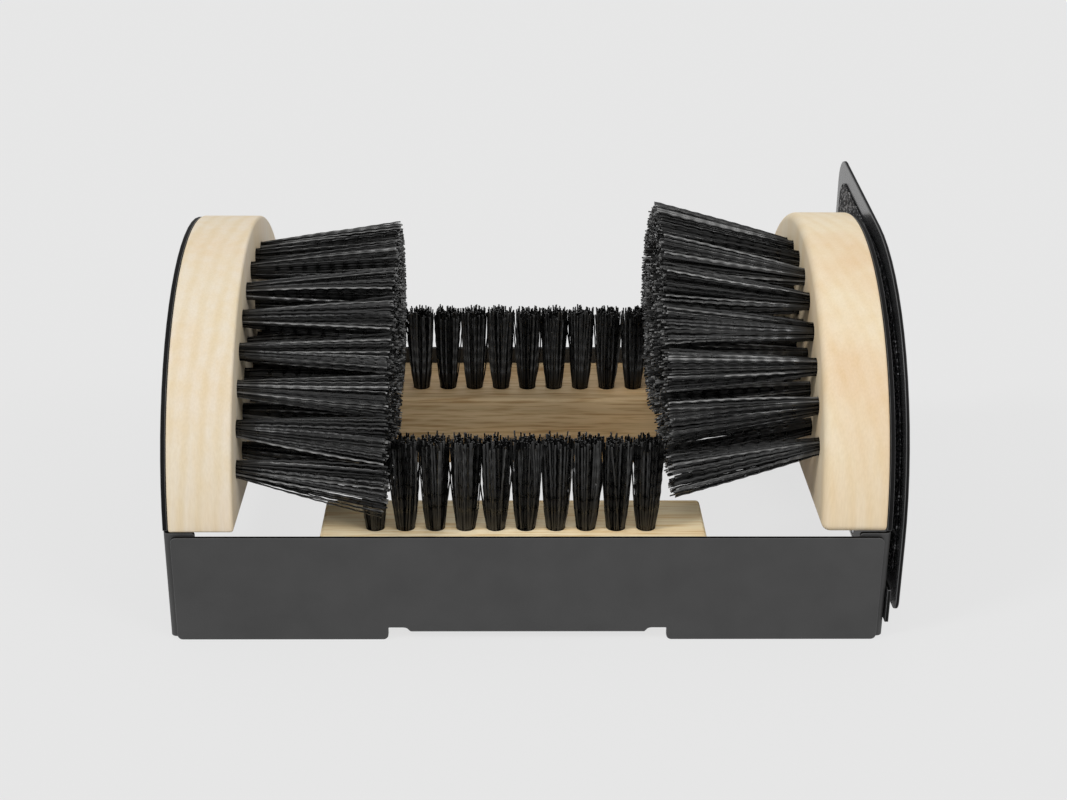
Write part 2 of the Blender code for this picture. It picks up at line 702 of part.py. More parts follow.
def make_step_plate(pivot):
    foot = STEP_UNDERSIDE - HINGE_HEIGHT
    crown, tail = step_outline(0, STEP_REAR_REACH, foot, STEP_FOOT_CORNER_RADIUS, STEP_REAR_CORNER_RADIUS)
    spans = [span for middle in HINGE_PLACES for span in knuckle_spans(middle, 1)]
    edge = knuckle_edge(spans, foot, curl_length)
    # The tail's first point and two rounded corners come before the knuckles
    split = 1 + (CORNER_STEPS + 1) * 2
    outline = crown + tail[1:split] + list(reversed(edge)) + tail[split:]
    # Seen from outside, the plate's local X runs towards the front
    outline = [(-y, z) for y, z in outline]
    blank = flat_mesh("step_plate", outline, [], STEP_SHEET)
    curl(blank)
    plate = add_part("step_plate", blank, powder_coat)
    placed(plate, (0, -1, 0), (0, 0, 1), (sheet_offset, 0, 0))
    plate.parent = pivot


def make_step_pad(pivot):
    foot = LEAF_TOP + PAD_OVER_LEAF - HINGE_HEIGHT
    rear = STEP_REAR_REACH - PAD_REAR_EDGE
    crown, tail = step_outline(PAD_EDGE, rear, foot, PAD_FOOT_CORNER_RADIUS, PAD_REAR_CORNER_RADIUS)
    outline = [(-y, z) for y, z in crown + tail[1:]]
    pad = add_part("step_pad", flat_mesh("step_pad", outline, [], PAD_THICKNESS), pad_grit)
    depth = hinge_inner_radius - SEAT_GAP - PAD_THICKNESS / 2
    placed(pad, (0, -1, 0), (0, 0, 1), (depth, 0, 0))
    pad.parent = pivot


def make_hinge_pin():
    front, rear = HINGE_PLACES
    shaft = bmesh.new()
    bmesh.ops.create_cone(
        shaft,
        cap_ends=True,
        segments=ROUND_STEPS,
        radius1=HINGE_PIN_RADIUS,
        radius2=HINGE_PIN_RADIUS,
        depth=rear - front + HINGE_LENGTH,
        matrix=Matrix.Rotation(math.pi / 2, 4, "X"),
    )
    pin = add_part("hinge_pin", shaft, zinc)
    pin.location = (mid_x + hinge_offset, (front + rear) / 2, HINGE_HEIGHT)


make_hinge_leaf()
make_hinge_pin()
step_pivot = bpy.data.objects.new("step_pivot", None)
parts.objects.link(step_pivot)
step_pivot.location = (mid_x + hinge_offset, 0, HINGE_HEIGHT)
make_step_plate(step_pivot)
make_step_pad(step_pivot)

# Fasteners


def turned(name, profile, material):
    """A turned piece about its own Z, from a profile that runs top to bottom at +X."""
    mesh = bpy.data.meshes.new(name)
    points = [(x, 0, z) for x, z in profile]
    mesh.from_pydata(points, [(k, k + 1) for k in range(len(points) - 1)], [])
    obj = add_part(name, mesh, material)
    screw = obj.modifiers.new("turn", "SCREW")
    screw.steps = ROUND_STEPS
    screw.render_steps = ROUND_STEPS
    screw.use_merge_vertices = True
    screw.merge_threshold = MERGE_DISTANCE
    screw.use_smooth_shade = True
    return obj


def wood_screw(name, place, outward, length):
    """A pan-head screw whose head bears at the place and looks outward."""
    top = SCREW_HEAD_HEIGHT
    profile = [
        (0, top - SCREW_RECESS_DEPTH),
        (SCREW_RECESS_RADIUS, top - SCREW_RECESS_DEPTH),
        (SCREW_RECESS_RADIUS, top),
        (SCREW_HEAD_RADIUS * SCREW_CROWN_SHARE, top),
        (SCREW_HEAD_RADIUS, top * SCREW_RIM_SHARE),
        (SCREW_HEAD_RADIUS, 0),
        (SCREW_SHANK_RADIUS, 0),
        (SCREW_SHANK_RADIUS, SCREW_TIP_LENGTH - length),
        (0, -length),
    ]
    screw = turned(name, profile, zinc)
    turn = Vector(outward).to_track_quat("Z", "Y").to_matrix().to_4x4()
    screw.matrix_world = Matrix.Translation(place) @ turn


def rivet(name, place, outward, grip):
    """A rivet with a head at each end of its grip, the outer head bearing at the place."""
    head = RIVET_HEAD_HEIGHT
    profile = [
        (0, head),
        (RIVET_HEAD_RADIUS * RIVET_CROWN_SHARE, head * RIVET_RISE_SHARE),
        (RIVET_HEAD_RADIUS, 0),
        (RIVET_SHANK_RADIUS, 0),
        (RIVET_SHANK_RADIUS, -grip),
        (RIVET_HEAD_RADIUS, -grip),
        (RIVET_HEAD_RADIUS * RIVET_CROWN_SHARE, -grip - head * RIVET_RISE_SHARE),
        (0, -grip - head),
    ]
    piece = turned(name, profile, zinc)
    turn = Vector(outward).to_track_quat("Z", "Y").to_matrix().to_4x4()
    piece.matrix_world = Matrix.Translation(place) @ turn


for side, word in ((-1, "front"), (1, "rear")):
    for number, (x, y) in enumerate(bottom_screw_places(side), 1):
        place = (x, y, LEDGE_UNDERSIDE - SEAT_GAP)
        wood_screw(f"{word}_brush_screw_{number}", place, (0, 0, -1), BOTTOM_SCREW_LENGTH)

for side, word in ((-1, "left"), (1, "right")):
    for number, (y, z) in enumerate(side_screw_places(), 1):
        place = (mid_x + side * (side_outer + SEAT_GAP), y, z)
        wood_screw(f"{word}_brush_screw_{number}", place, (side, 0, 0), SIDE_SCREW_LENGTH)

leaf_outer = hinge_offset - hinge_inner_radius
for number, (y, z) in enumerate(rivet_places(), 1):
    place = (mid_x + leaf_outer + SEAT_GAP, y, z)
    grip = leaf_outer + SEAT_GAP - (side_inner - SEAT_GAP)
    rivet(f"hinge_rivet_{number}", place, (1, 0, 0), grip)
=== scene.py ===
"""Boot and shoe brush: the finish of every piece, the wood blocks and the full bristles."""
import math

import bmesh
import bpy
import numpy as np
from mathutils import Matrix, Vector
from mathutils.bvhtree import BVHTree


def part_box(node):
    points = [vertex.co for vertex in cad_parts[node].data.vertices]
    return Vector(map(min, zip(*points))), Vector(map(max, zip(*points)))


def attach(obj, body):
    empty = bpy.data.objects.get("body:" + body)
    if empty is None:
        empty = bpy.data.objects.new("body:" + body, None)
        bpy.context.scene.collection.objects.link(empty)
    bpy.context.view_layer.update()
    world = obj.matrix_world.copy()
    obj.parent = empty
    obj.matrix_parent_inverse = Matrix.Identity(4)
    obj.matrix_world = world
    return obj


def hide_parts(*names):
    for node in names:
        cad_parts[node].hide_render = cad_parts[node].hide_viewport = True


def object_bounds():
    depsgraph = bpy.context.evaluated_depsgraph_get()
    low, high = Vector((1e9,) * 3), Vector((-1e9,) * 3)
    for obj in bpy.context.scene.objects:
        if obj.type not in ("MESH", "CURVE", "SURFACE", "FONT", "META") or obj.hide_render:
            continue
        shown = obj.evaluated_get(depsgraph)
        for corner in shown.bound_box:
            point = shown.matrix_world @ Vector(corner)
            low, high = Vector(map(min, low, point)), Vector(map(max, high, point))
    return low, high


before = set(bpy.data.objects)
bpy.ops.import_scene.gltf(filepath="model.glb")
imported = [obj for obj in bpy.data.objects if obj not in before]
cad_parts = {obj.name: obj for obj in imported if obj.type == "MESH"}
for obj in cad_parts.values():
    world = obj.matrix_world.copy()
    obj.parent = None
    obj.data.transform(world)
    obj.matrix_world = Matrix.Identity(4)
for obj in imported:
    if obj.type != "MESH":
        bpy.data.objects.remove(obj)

cad_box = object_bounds()

# The view. The brush is seen from the front and a little above, as a product photograph shows it.
# It stands on a pale floor, in soft light from both sides and from all round.
PICTURE_WIDTH = 1067
FOCAL_PIXELS = 1777.3
CENTRE_PIXEL = 524.6
SENSOR_WIDTH = 36.0
CAMERA_PLACE = (-0.01174, -0.7043, 0.3617)
CAMERA_DOWN = math.radians(23.23)
CAMERA_TURN = math.radians(-0.78)
CAMERA_ROLL = math.radians(0.35)
NEAREST_SEEN = 0.01


def linked(name, data):
    """A new object with the given data, in the scene."""
    piece = bpy.data.objects.new(name, data)
    bpy.context.scene.collection.objects.link(piece)
    return piece


camera_data = bpy.data.cameras.new("camera")
camera_data.sensor_width = SENSOR_WIDTH
camera_data.lens = FOCAL_PIXELS / PICTURE_WIDTH * SENSOR_WIDTH
camera_data.shift_x = 0.5 - CENTRE_PIXEL / PICTURE_WIDTH
camera_data.clip_start = NEAREST_SEEN
camera = linked("camera", camera_data)
to_right = Vector((math.cos(CAMERA_TURN), math.sin(CAMERA_TURN), 0))
level = Vector((-math.sin(CAMERA_TURN), math.cos(CAMERA_TURN), 0))
ahead = level * math.cos(CAMERA_DOWN) - Vector((0, 0, math.sin(CAMERA_DOWN)))
facing = Matrix((to_right, to_right.cross(ahead), -ahead)).transposed().to_4x4()
roll = Matrix.Rotation(CAMERA_ROLL, 4, "Z")
camera.matrix_world = Matrix.Translation(CAMERA_PLACE) @ facing @ roll
bpy.context.scene.camera = camera
bpy.context.scene.view_settings.view_transform = "Standard"

# Each sun's name and strength, then in degrees its height, its side and its size in the sky.
SUNS = [
    ("key_light", 1.15, 42, -62, 13),
    ("front_light", 0.46, 44, -6, 26),
    ("fill_light", 0.72, 38, 55, 22),
    ("rear_light", 0.12, 60, 165, 30),
]
for sun_name, strength, sun_height, sun_side, sun_size in SUNS:
    sun_data = bpy.data.lights.new(sun_name, "SUN")
    sun_data.energy = strength
    sun_data.angle = math.radians(sun_size)
    sun = linked(sun_name, sun_data)
    sun.rotation_euler = (math.radians(90 - sun_height), 0, math.radians(sun_side))

WHITE = (1, 1, 1, 1)
SKY_STRENGTH = 0.60
BACKDROP_COLOUR = (0.791, 0.791, 0.791, 1)


def seen_directly(tree):
    """1 for rays of the camera, of a mirror image and through glass, and 0 for light on a surface."""
    path = tree.nodes.new("ShaderNodeLightPath")
    most = path.outputs["Is Camera Ray"]
    for ray in ("Is Glossy Ray", "Is Transmission Ray"):
        larger = tree.nodes.new("ShaderNodeMath")
        larger.operation = "MAXIMUM"
        tree.links.new(most, larger.inputs[0])
        tree.links.new(path.outputs[ray], larger.inputs[1])
        most = larger.outputs[0]
    return most


world = bpy.data.worlds.new("studio")
bpy.context.scene.world = world
world.use_nodes = True
sky_tree = world.node_tree
sky_tree.nodes.clear()
sky_out = sky_tree.nodes.new("ShaderNodeOutputWorld")
sky_light = sky_tree.nodes.new("ShaderNodeBackground")
sky_light.inputs["Color"].default_value = WHITE
sky_light.inputs["Strength"].default_value = SKY_STRENGTH
sky_seen = sky_tree.nodes.new("ShaderNodeBackground")
sky_seen.inputs["Color"].default_value = BACKDROP_COLOUR
sky_mix = sky_tree.nodes.new("ShaderNodeMixShader")
sky_tree.links.new(seen_directly(sky_tree), sky_mix.inputs[0])
sky_tree.links.new(sky_light.outputs[0], sky_mix.inputs[1])
sky_tree.links.new(sky_seen.outputs[0], sky_mix.inputs[2])
sky_tree.links.new(sky_mix.outputs[0], sky_out.inputs[0])

# The floor. A plain pale sweep, wide enough to fill the picture, which keeps a faint shadow.
# Part of it glows at the backdrop's own colour, so that it meets the background without an edge.
FLOOR_REACH = 9.0
FLOOR_DROP = 0.0001
FLOOR_GLOW_SHARE = 0.90
FLOOR_COLOUR = (0.74, 0.74, 0.74, 1)
FLOOR_ROUGHNESS = 0.9
FLOOR_SHINE = 0.1

floor_mesh = bpy.data.meshes.new("floor")
corner_signs = np.array([(-1, -1), (1, -1), (1, 1), (-1, 1)], float)
floor_points = np.column_stack([corner_signs * FLOOR_REACH, np.full(4, -FLOOR_DROP)])
floor_mesh.from_pydata(floor_points.tolist(), [], [(0, 1, 2, 3)])
floor = linked("floor", floor_mesh)
floor_paint = bpy.data.materials.new("floor_paper")
floor_paint.use_nodes = True
floor_tree = floor_paint.node_tree
floor_shader = floor_tree.nodes["Principled BSDF"]
floor_shader.inputs["Base Color"].default_value = FLOOR_COLOUR
floor_shader.inputs["Roughness"].default_value = FLOOR_ROUGHNESS
floor_shader.inputs["Specular IOR Level"].default_value = FLOOR_SHINE
floor_glow = floor_tree.nodes.new("ShaderNodeEmission")
floor_glow.inputs["Color"].default_value = BACKDROP_COLOUR
floor_share = floor_tree.nodes.new("ShaderNodeMath")
floor_share.operation = "MULTIPLY"
floor_share.inputs[1].default_value = FLOOR_GLOW_SHARE
floor_mix = floor_tree.nodes.new("ShaderNodeMixShader")
floor_tree.links.new(seen_directly(floor_tree), floor_share.inputs[0])
floor_tree.links.new(floor_share.outputs[0], floor_mix.inputs[0])
floor_tree.links.new(floor_shader.outputs[0], floor_mix.inputs[1])
floor_tree.links.new(floor_glow.outputs[0], floor_mix.inputs[2])
floor_tree.links.new(floor_mix.outputs[0], floor_tree.nodes["Material Output"].inputs["Surface"])
floor_mesh.materials.append(floor_paint)

# The aprons. The low front and rear walls are laser-cut steel sheet, folded and powder coated.
# The cut edges carry a near-black coat as painted shade, and the rounding between face and edge a
# lighter coat as a painted highlight.
MERGE_DISTANCE = 0.00001
THICKEST_SHEET = 0.0024
FLAT_DEGREES = 1
ROUNDED_DEGREES = 50
SHEET_SHARP_DEGREES = 60
COAT_ROUND = 0.00018
COAT_SEGMENTS = 2
COAT_SHINE = 0.42
CLOUD_SCALE = 60.0
CLOUD_DETAIL = 3.0
CLOUD_STOPS = (0.3, 0.7)
FINE_DETAIL = 2.0
PEEL_SCALE = 1100.0
PEEL_HEIGHT = 0.00008
PEEL_STRENGTH = 0.45
SPECK_SCALE = 5200.0
SPECK_HEIGHT = 0.00002
SPECK_STRENGTH = 0.5


def noise(tree, scale, detail, source, stretch=(1, 1, 1), turn=(0, 0, 0)):
    """Fractal noise on the object's own coordinates in metres, stretched along one axis."""
    mapping = tree.nodes.new("ShaderNodeMapping")
    mapping.inputs["Scale"].default_value = stretch
    mapping.inputs["Rotation"].default_value = turn
    pattern = tree.nodes.new("ShaderNodeTexNoise")
    pattern.inputs["Scale"].default_value = scale
    pattern.inputs["Detail"].default_value = detail
    tree.links.new(source, mapping.inputs["Vector"])
    tree.links.new(mapping.outputs["Vector"], pattern.inputs["Vector"])
    return pattern.outputs["Fac"]


def colour_ramp(tree, source, stops):
    """A colour that runs through the stops, each a place from 0 to 1 and a colour."""
    ramp = tree.nodes.new("ShaderNodeValToRGB")
    for element in list(ramp.color_ramp.elements)[1:]:
        ramp.color_ramp.elements.remove(element)
    ramp.color_ramp.elements[0].position = stops[0][0]
    ramp.color_ramp.elements[0].color = stops[0][1]
    for place, colour in stops[1:]:
        ramp.color_ramp.elements.new(place).color = colour
    tree.links.new(source, ramp.inputs["Fac"])
    return ramp.outputs["Color"]


def span(tree, source, low, high):
    """A value from 0 to 1 carried to the span from low to high."""
    scaled = tree.nodes.new("ShaderNodeMapRange")
    scaled.inputs["To Min"].default_value = low
    scaled.inputs["To Max"].default_value = high
    tree.links.new(source, scaled.inputs["Value"])
    return scaled.outputs["Result"]


def bump(tree, source, distance, strength, below=None):
    """The surface normal, tilted by the source as a height of the given distance in metres."""
    relief = tree.nodes.new("ShaderNodeBump")
    relief.inputs["Distance"].default_value = distance
    relief.inputs["Strength"].default_value = strength
    tree.links.new(source, relief.inputs["Height"])
    if below is not None:
        tree.links.new(below, relief.inputs["Normal"])
    return relief.outputs["Normal"]


def new_finish(name):
    """An empty material, its tree, its shader and its object coordinates."""
    finish = bpy.data.materials.new(name)
    finish.use_nodes = True
    tree = finish.node_tree
    place = tree.nodes.new("ShaderNodeTexCoord").outputs["Object"]
    return finish, tree, tree.nodes["Principled BSDF"], place


def powder_coat(name, dark, light, smooth, rough, peel_share, specular=COAT_SHINE):
    """Baked powder: faint mottling, a sheen that varies grain by grain, and a peel of low bumps."""
    finish, tree, shader, place = new_finish(name)
    cloud = noise(tree, CLOUD_SCALE, CLOUD_DETAIL, place)
    mottled = colour_ramp(tree, cloud, list(zip(CLOUD_STOPS, (dark, light))))
    tree.links.new(mottled, shader.inputs["Base Color"])
    speck = noise(tree, SPECK_SCALE, FINE_DETAIL, place)
    tree.links.new(span(tree, speck, smooth, rough), shader.inputs["Roughness"])
    shader.inputs["Specular IOR Level"].default_value = specular
    waves = noise(tree, PEEL_SCALE, FINE_DETAIL, place)
    peel = bump(tree, waves, PEEL_HEIGHT, PEEL_STRENGTH * peel_share)
    grain = bump(tree, speck, SPECK_HEIGHT, SPECK_STRENGTH * peel_share, peel)
    tree.links.new(grain, shader.inputs["Normal"])
    return finish


def bake_modifiers(piece, sharp_degrees):
    """Replaces the piece's mesh by the one that its modifiers make, shaded smooth but at sharp edges."""
    bpy.context.view_layer.update()
    graph = bpy.context.evaluated_depsgraph_get()
    made = bpy.data.meshes.new_from_object(piece.evaluated_get(graph))
    piece.modifiers.clear()
    piece.data = made
    made.shade_smooth()
    made.set_sharp_from_angle(angle=math.radians(sharp_degrees))


def mark_cut_edges(shape):
    """Gives material 1 to the faces behind which the steel is thicker than one sheet.

    A line runs straight in from the middle of a face's largest triangle to the far side of the steel.
    """
    shape.normal_update()
    tree = BVHTree.FromBMesh(shape)
    largest = {}
    for corners in shape.calc_loop_triangles():
        first, second, third = (loop.vert.co for loop in corners)
        size = (second - first).cross(third - first).length
        if size > largest.get(corners[0].face, (0, None))[0]:
            largest[corners[0].face] = (size, (first + second + third) / 3)
    for face, (_, middle) in largest.items():
        through = tree.ray_cast(middle - face.normal * MERGE_DISTANCE, -face.normal)[3]
        face.material_index = int(through is None or through > THICKEST_SHEET)


def coated_sheet(node, body, finishes, coat_round):
    """A node's sheet with its cut edges rounded by the coat: the same shape, merged and bevelled.

    The finishes are those of the sheet, of its cut edges and of the rounding between the two. No
    point of the rounding goes past the box of the node.
    """
    shape = bmesh.new()
    shape.from_mesh(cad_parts[node].data)
    bmesh.ops.remove_doubles(shape, verts=shape.verts, dist=MERGE_DISTANCE)
    bmesh.ops.dissolve_limit(
        shape, angle_limit=math.radians(FLAT_DEGREES), verts=shape.verts, edges=shape.edges
    )
    mark_cut_edges(shape)
    mesh = bpy.data.meshes.new(node + "_coated")
    shape.to_mesh(mesh)
    shape.free()
    for finish in finishes:
        mesh.materials.append(finish)
    piece = linked(node + "_coated", mesh)
    rounding = piece.modifiers.new("coat_round", "BEVEL")
    rounding.width = coat_round
    rounding.segments = COAT_SEGMENTS
    rounding.material = 2
    rounding.limit_method = "ANGLE"
    rounding.angle_limit = math.radians(ROUNDED_DEGREES)
    rounding.use_clamp_overlap = False
    mesh.shade_smooth()
    flat = piece.modifiers.new("flat_faces", "WEIGHTED_NORMAL")
    flat.keep_sharp = True
    bake_modifiers(piece, SHEET_SHARP_DEGREES)
    points = np.empty(len(piece.data.vertices) * 3, np.float32)
    piece.data.vertices.foreach_get("co", points)
    low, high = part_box(node)
    points = np.clip(points.reshape(-1, 3), low, high)
    piece.data.vertices.foreach_set("co", points.ravel())
    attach(piece, body)
    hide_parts(node)
    return piece


coat = powder_coat(
    "anthracite_powder_coat",
    dark=(0.036, 0.036, 0.036, 1),
    light=(0.044, 0.044, 0.044, 1),
    smooth=0.42,
    rough=0.62,
    peel_share=1,
)
# Painted shade: a near-black coat on the cut edges, far darker than the coat itself.
cut_edge_painted_shade = powder_coat(
    "cut_edges_painted_shade",
    dark=(0.003, 0.003, 0.003, 1),
    light=(0.005, 0.005, 0.005, 1),
    smooth=0.60,
    rough=0.75,
    peel_share=1,
    specular=0.12,
)
# Painted highlight: a lighter coat on the rounding of each edge.
rounding_painted_highlight = powder_coat(
    "edge_rounding_painted_highlight",
    dark=(0.060, 0.060, 0.061, 1),
    light=(0.080, 0.080, 0.081, 1),
    smooth=0.30,
    rough=0.45,
    peel_share=0.5,
)
frame_finishes = [coat, cut_edge_painted_shade, rounding_painted_highlight]
for node in ("front_apron", "rear_apron"):
    coated_sheet(node, "frame", frame_finishes, COAT_ROUND)

# The side plates. Each is an arched sheet with a narrow flange folded in at the front and rear.
# They carry the side brushes, and are coated together with the aprons.
for node in ("left_side_plate", "right_side_plate"):
    coated_sheet(node, "frame", frame_finishes, COAT_ROUND)

# The side blocks. Each is a D-shaped board of pale wood with its grain upright, sanded along its
# edges and drilled for the tufts. Three screws through the side plate hold it.
EDGE_STEPS = 6
RIM_STEPS = 96
CORNER_STEPS = 6
ARCH_RADIUS = 0.0984
BLOCK_THICKNESS = 0.025
PLATE_SIDE_ROUND = 0.0010
LEAST_CORNER = 0.0002
TUFT_HOLE = 0.0036
TUFT_HOLE_DEPTH = 0.006
HOLE_CHAMFER = 0.0003
HOLE_STEPS = 20
TUFT_EDGE = 0.0144
TUFT_ROW_PITCH = 0.017
TUFT_PITCH = 0.0157
TUFT_LOW_END = 0.0255
TUFT_HIGH_END = 0.0323
BLOCK_SHARP_DEGREES = 40
BEND_REACH = (0.016, 0.016, 0.016)
BEND_SCALE = 11.0
BEND_STRETCH = 0.35
LAYER_SCALE = 48.0
LAYER_DISTORTION = 1.2
LAYER_DETAIL = 2.0
LAYER_DETAIL_SCALE = 0.4
LAYER_STOPS = (0.30, 0.95)
STREAK_DETAIL = 3.0
STREAK_STRETCH = 0.05
FIBRE_SCALE = 1500.0
FIBRE_STRETCH = 0.02
FIBRE_STOPS = (0.35, 0.65)
FIBRE_SHADE = (0.95, 0.94, 0.92, 1)
FIBRE_HEIGHT = 0.00005
FIBRE_STRENGTH = 0.3
PATCH_SCALE = 24.0
PATCH_STRETCH = 0.4
PATCH_STOPS = (0.42, 0.60)
WOOD_ROUGHNESS = (0.5, 0.68)
WOOD_SHINE = 0.3


def arch_outline(inset, centre, foot, corner_radius):
    """The D outline, drawn in by the inset, as (n, 2) points (y, z).

    The crown is an arc about the arch's centre. A small arc rounds each foot corner: its centre is
    one corner radius above the foot line and one corner radius inside the crown's circle. The
    points run round from the rear foot over the crown to the front foot, and back along the foot.
    """
    radius = ARCH_RADIUS - inset
    corner = max(corner_radius - inset, LEAST_CORNER)
    rise = foot + inset + corner - centre
    reach = math.sqrt((radius - corner) ** 2 - rise**2)
    start = math.atan2(rise, reach)
    crown = np.linspace(start, math.pi - start, RIM_STEPS + 1)
    front = np.linspace(math.pi - start, 1.5 * math.pi, CORNER_STEPS + 1)[1:]
    rear = np.linspace(-0.5 * math.pi, start, CORNER_STEPS + 1)[:-1]
    arcs = [(crown, 0, 0, radius), (front, -reach, rise, corner), (rear, reach, rise, corner)]
    outline = [np.column_stack([y + r * np.cos(a), z + r * np.sin(a)]) for a, y, z, r in arcs]
    return np.vstack(outline) + [0, centre]


def edge_profile(length, first_round, last_round):
    """(m, 2) pairs of height and inset: a quarter circle at each end of a straight rim."""
    turns = np.linspace(0, math.pi / 2, EDGE_STEPS + 1)
    rise = first_round * (1 - np.cos(turns))
    low = np.column_stack([rise, first_round * (1 - np.sin(turns))])
    fall = length - last_round * (1 - np.sin(turns))
    high = np.column_stack([fall, last_round * (1 - np.cos(turns))])
    return np.vstack([low, high])


def lofted_block(name, outline_at, profile, axes, start):
    """A closed block: the outline at each inset of the profile, stacked at its height, with flat ends.

    axes are the world directions of the outline's two coordinates and of the height, which runs
    from the start along the third. They are right handed, so that the faces look out.
    """
    rings = np.array([outline_at(inset) for _, inset in profile])
    heights = np.broadcast_to(profile[:, 0, None, None], rings.shape[:2] + (1,))
    local = np.concatenate([rings, heights], axis=2)
    points = local @ np.array(axes, float) + np.array(start, float)
    count, around = rings.shape[:2]
    index = np.arange(count * around).reshape(count, around)
    ahead_index = np.roll(index, -1, axis=1)
    quads = np.stack([index[:-1], ahead_index[:-1], ahead_index[1:], index[1:]], axis=-1)
    faces = quads.reshape(-1, 4).tolist()
    faces.append(index[0, ::-1].tolist())
    faces.append(index[-1].tolist())
    mesh = bpy.data.meshes.new(name)
    mesh.from_pydata(points.reshape(-1, 3).tolist(), [], faces)
    return linked(name, mesh)


def drill(block, mouths, inward, radius, depth):
    """Cuts a round hole with a chamfered mouth at each point, straight in along one direction.

    The cutter is one mesh of turned plugs: rings of a radius at a depth, the same for every hole.
    """
    axis = np.array(inward, float)
    side = np.roll(np.abs(axis), 1)
    across = np.cross(axis, side)
    above = -radius
    outline = np.array(
        [
            (above, radius + HOLE_CHAMFER - above),
            (0, radius + HOLE_CHAMFER),
            (HOLE_CHAMFER, radius),
            (depth, radius),
        ]
    )
    turns = np.arange(HOLE_STEPS) * 2 * math.pi / HOLE_STEPS
    spokes = np.cos(turns)[:, None] * side + np.sin(turns)[:, None] * across
    plug = outline[:, 0, None, None] * axis + outline[:, 1, None, None] * spokes[None]
    points = (mouths[:, None, None, :] + plug[None]).reshape(-1, 3)
    rings = len(outline)
    index = np.arange(len(points)).reshape(len(mouths), rings, HOLE_STEPS)
    turned = np.roll(index, -1, axis=2)
    quads = np.stack([index[:, :-1], turned[:, :-1], turned[:, 1:], index[:, 1:]], axis=-1)
    faces = quads.reshape(-1, 4).tolist() + index[:, 0, ::-1].tolist() + index[:, -1].tolist()
    mesh = bpy.data.meshes.new(block.name + "_drills")
    mesh.from_pydata(points.tolist(), [], faces)
    outward = bmesh.new()
    outward.from_mesh(mesh)
    bmesh.ops.recalc_face_normals(outward, faces=outward.faces)
    outward.to_mesh(mesh)
    outward.free()
    cutter = linked(block.name + "_drills", mesh)
    cut = block.modifiers.new("tuft_holes", "BOOLEAN")
    cut.operation = "DIFFERENCE"
    cut.solver = "EXACT"
    cut.object = cutter
    bake_modifiers(block, BLOCK_SHARP_DEGREES)
    bpy.data.objects.remove(cutter, do_unlink=True)


def side_tufts(centre, side):
    """(y, z) of a block's tufts. Both blocks are drilled alike, and one is turned round.

    Each row is an arc about the arch's centre, one row pitch inside the last. It runs from the
    height of the low end to the height of the high end, in equal steps near the tuft pitch.
    """
    outermost = ARCH_RADIUS - TUFT_EDGE
    rows = outermost - TUFT_ROW_PITCH * np.arange(1 + int((outermost - TUFT_HIGH_END) / TUFT_ROW_PITCH))
    places = []
    for radius in rows:
        low = math.asin(TUFT_LOW_END / radius)
        high = math.pi - math.asin(TUFT_HIGH_END / radius)
        turns = np.linspace(low, high, round(radius * (high - low) / TUFT_PITCH) + 1)
        places.append(np.column_stack([side * np.cos(turns), np.sin(turns)]) * radius + [0, centre])
    return np.vstack(places)


def multiplied(tree, first, second):
    """Two colours multiplied."""
    product = tree.nodes.new("ShaderNodeMix")
    product.data_type = "RGBA"
    product.blend_type = "MULTIPLY"
    product.inputs["Factor"].default_value = 1.0
    tree.links.new(first, product.inputs["A"])
    tree.links.new(second, product.inputs["B"])
    return product.outputs["Result"]


def pale_wood(name, grain, light, line, streak, patch, turn, streak_scale, streak_stops):
    """Planed wood: soft growth lines, streaks and fibres along the grain, in slow patches.

    The growth lines are layers a few millimetres apart, turned about the grain and bent by slow
    noise, and they run from the light colour to the line colour. The streaks and fibres are noise
    drawn out along the grain. The streaks are narrower at a higher streak scale, and their colour
    comes in from the first streak stop to the second.
    """
    finish, tree, shader, place = new_finish(name)

    def drawn_out(share):
        return tuple(share if axis == grain else 1.0 for axis in "XYZ")

    turned = tree.nodes.new("ShaderNodeMapping")
    turned.inputs["Rotation"].default_value = turn
    tree.links.new(place, turned.inputs["Vector"])
    here = turned.outputs["Vector"]
    bent = tree.nodes.new("ShaderNodeVectorMath")
    bent.operation = "MULTIPLY_ADD"
    bent.inputs[1].default_value = BEND_REACH
    tree.links.new(noise(tree, BEND_SCALE, FINE_DETAIL, here, drawn_out(BEND_STRETCH)), bent.inputs[0])
    tree.links.new(here, bent.inputs[2])
    layers = tree.nodes.new("ShaderNodeTexWave")
    layers.wave_type = "BANDS"
    layers.bands_direction = "X" if grain == "Z" else "Z"
    layers.wave_profile = "SIN"
    layers.inputs["Scale"].default_value = LAYER_SCALE
    layers.inputs["Distortion"].default_value = LAYER_DISTORTION
    layers.inputs["Detail"].default_value = LAYER_DETAIL
    layers.inputs["Detail Scale"].default_value = LAYER_DETAIL_SCALE
    tree.links.new(bent.outputs[0], layers.inputs["Vector"])
    growth = colour_ramp(tree, layers.outputs["Fac"], list(zip(LAYER_STOPS, (light, line))))
    drawn_noise = noise(tree, streak_scale, STREAK_DETAIL, here, drawn_out(STREAK_STRETCH))
    drawn = colour_ramp(tree, drawn_noise, list(zip(streak_stops, (WHITE, streak))))
    fibre = noise(tree, FIBRE_SCALE, STREAK_DETAIL, here, drawn_out(FIBRE_STRETCH))
    fine = colour_ramp(tree, fibre, list(zip(FIBRE_STOPS, (FIBRE_SHADE, WHITE))))
    slow_noise = noise(tree, PATCH_SCALE, STREAK_DETAIL, here, drawn_out(PATCH_STRETCH))
    slow = colour_ramp(tree, slow_noise, list(zip(PATCH_STOPS, (WHITE, patch))))
    colour = multiplied(tree, multiplied(tree, growth, drawn), multiplied(tree, fine, slow))
    tree.links.new(colour, shader.inputs["Base Color"])
    tree.links.new(span(tree, fibre, *WOOD_ROUGHNESS), shader.inputs["Roughness"])
    shader.inputs["Specular IOR Level"].default_value = WOOD_SHINE
    tree.links.new(bump(tree, fibre, FIBRE_HEIGHT, FIBRE_STRENGTH), shader.inputs["Normal"])
    return finish


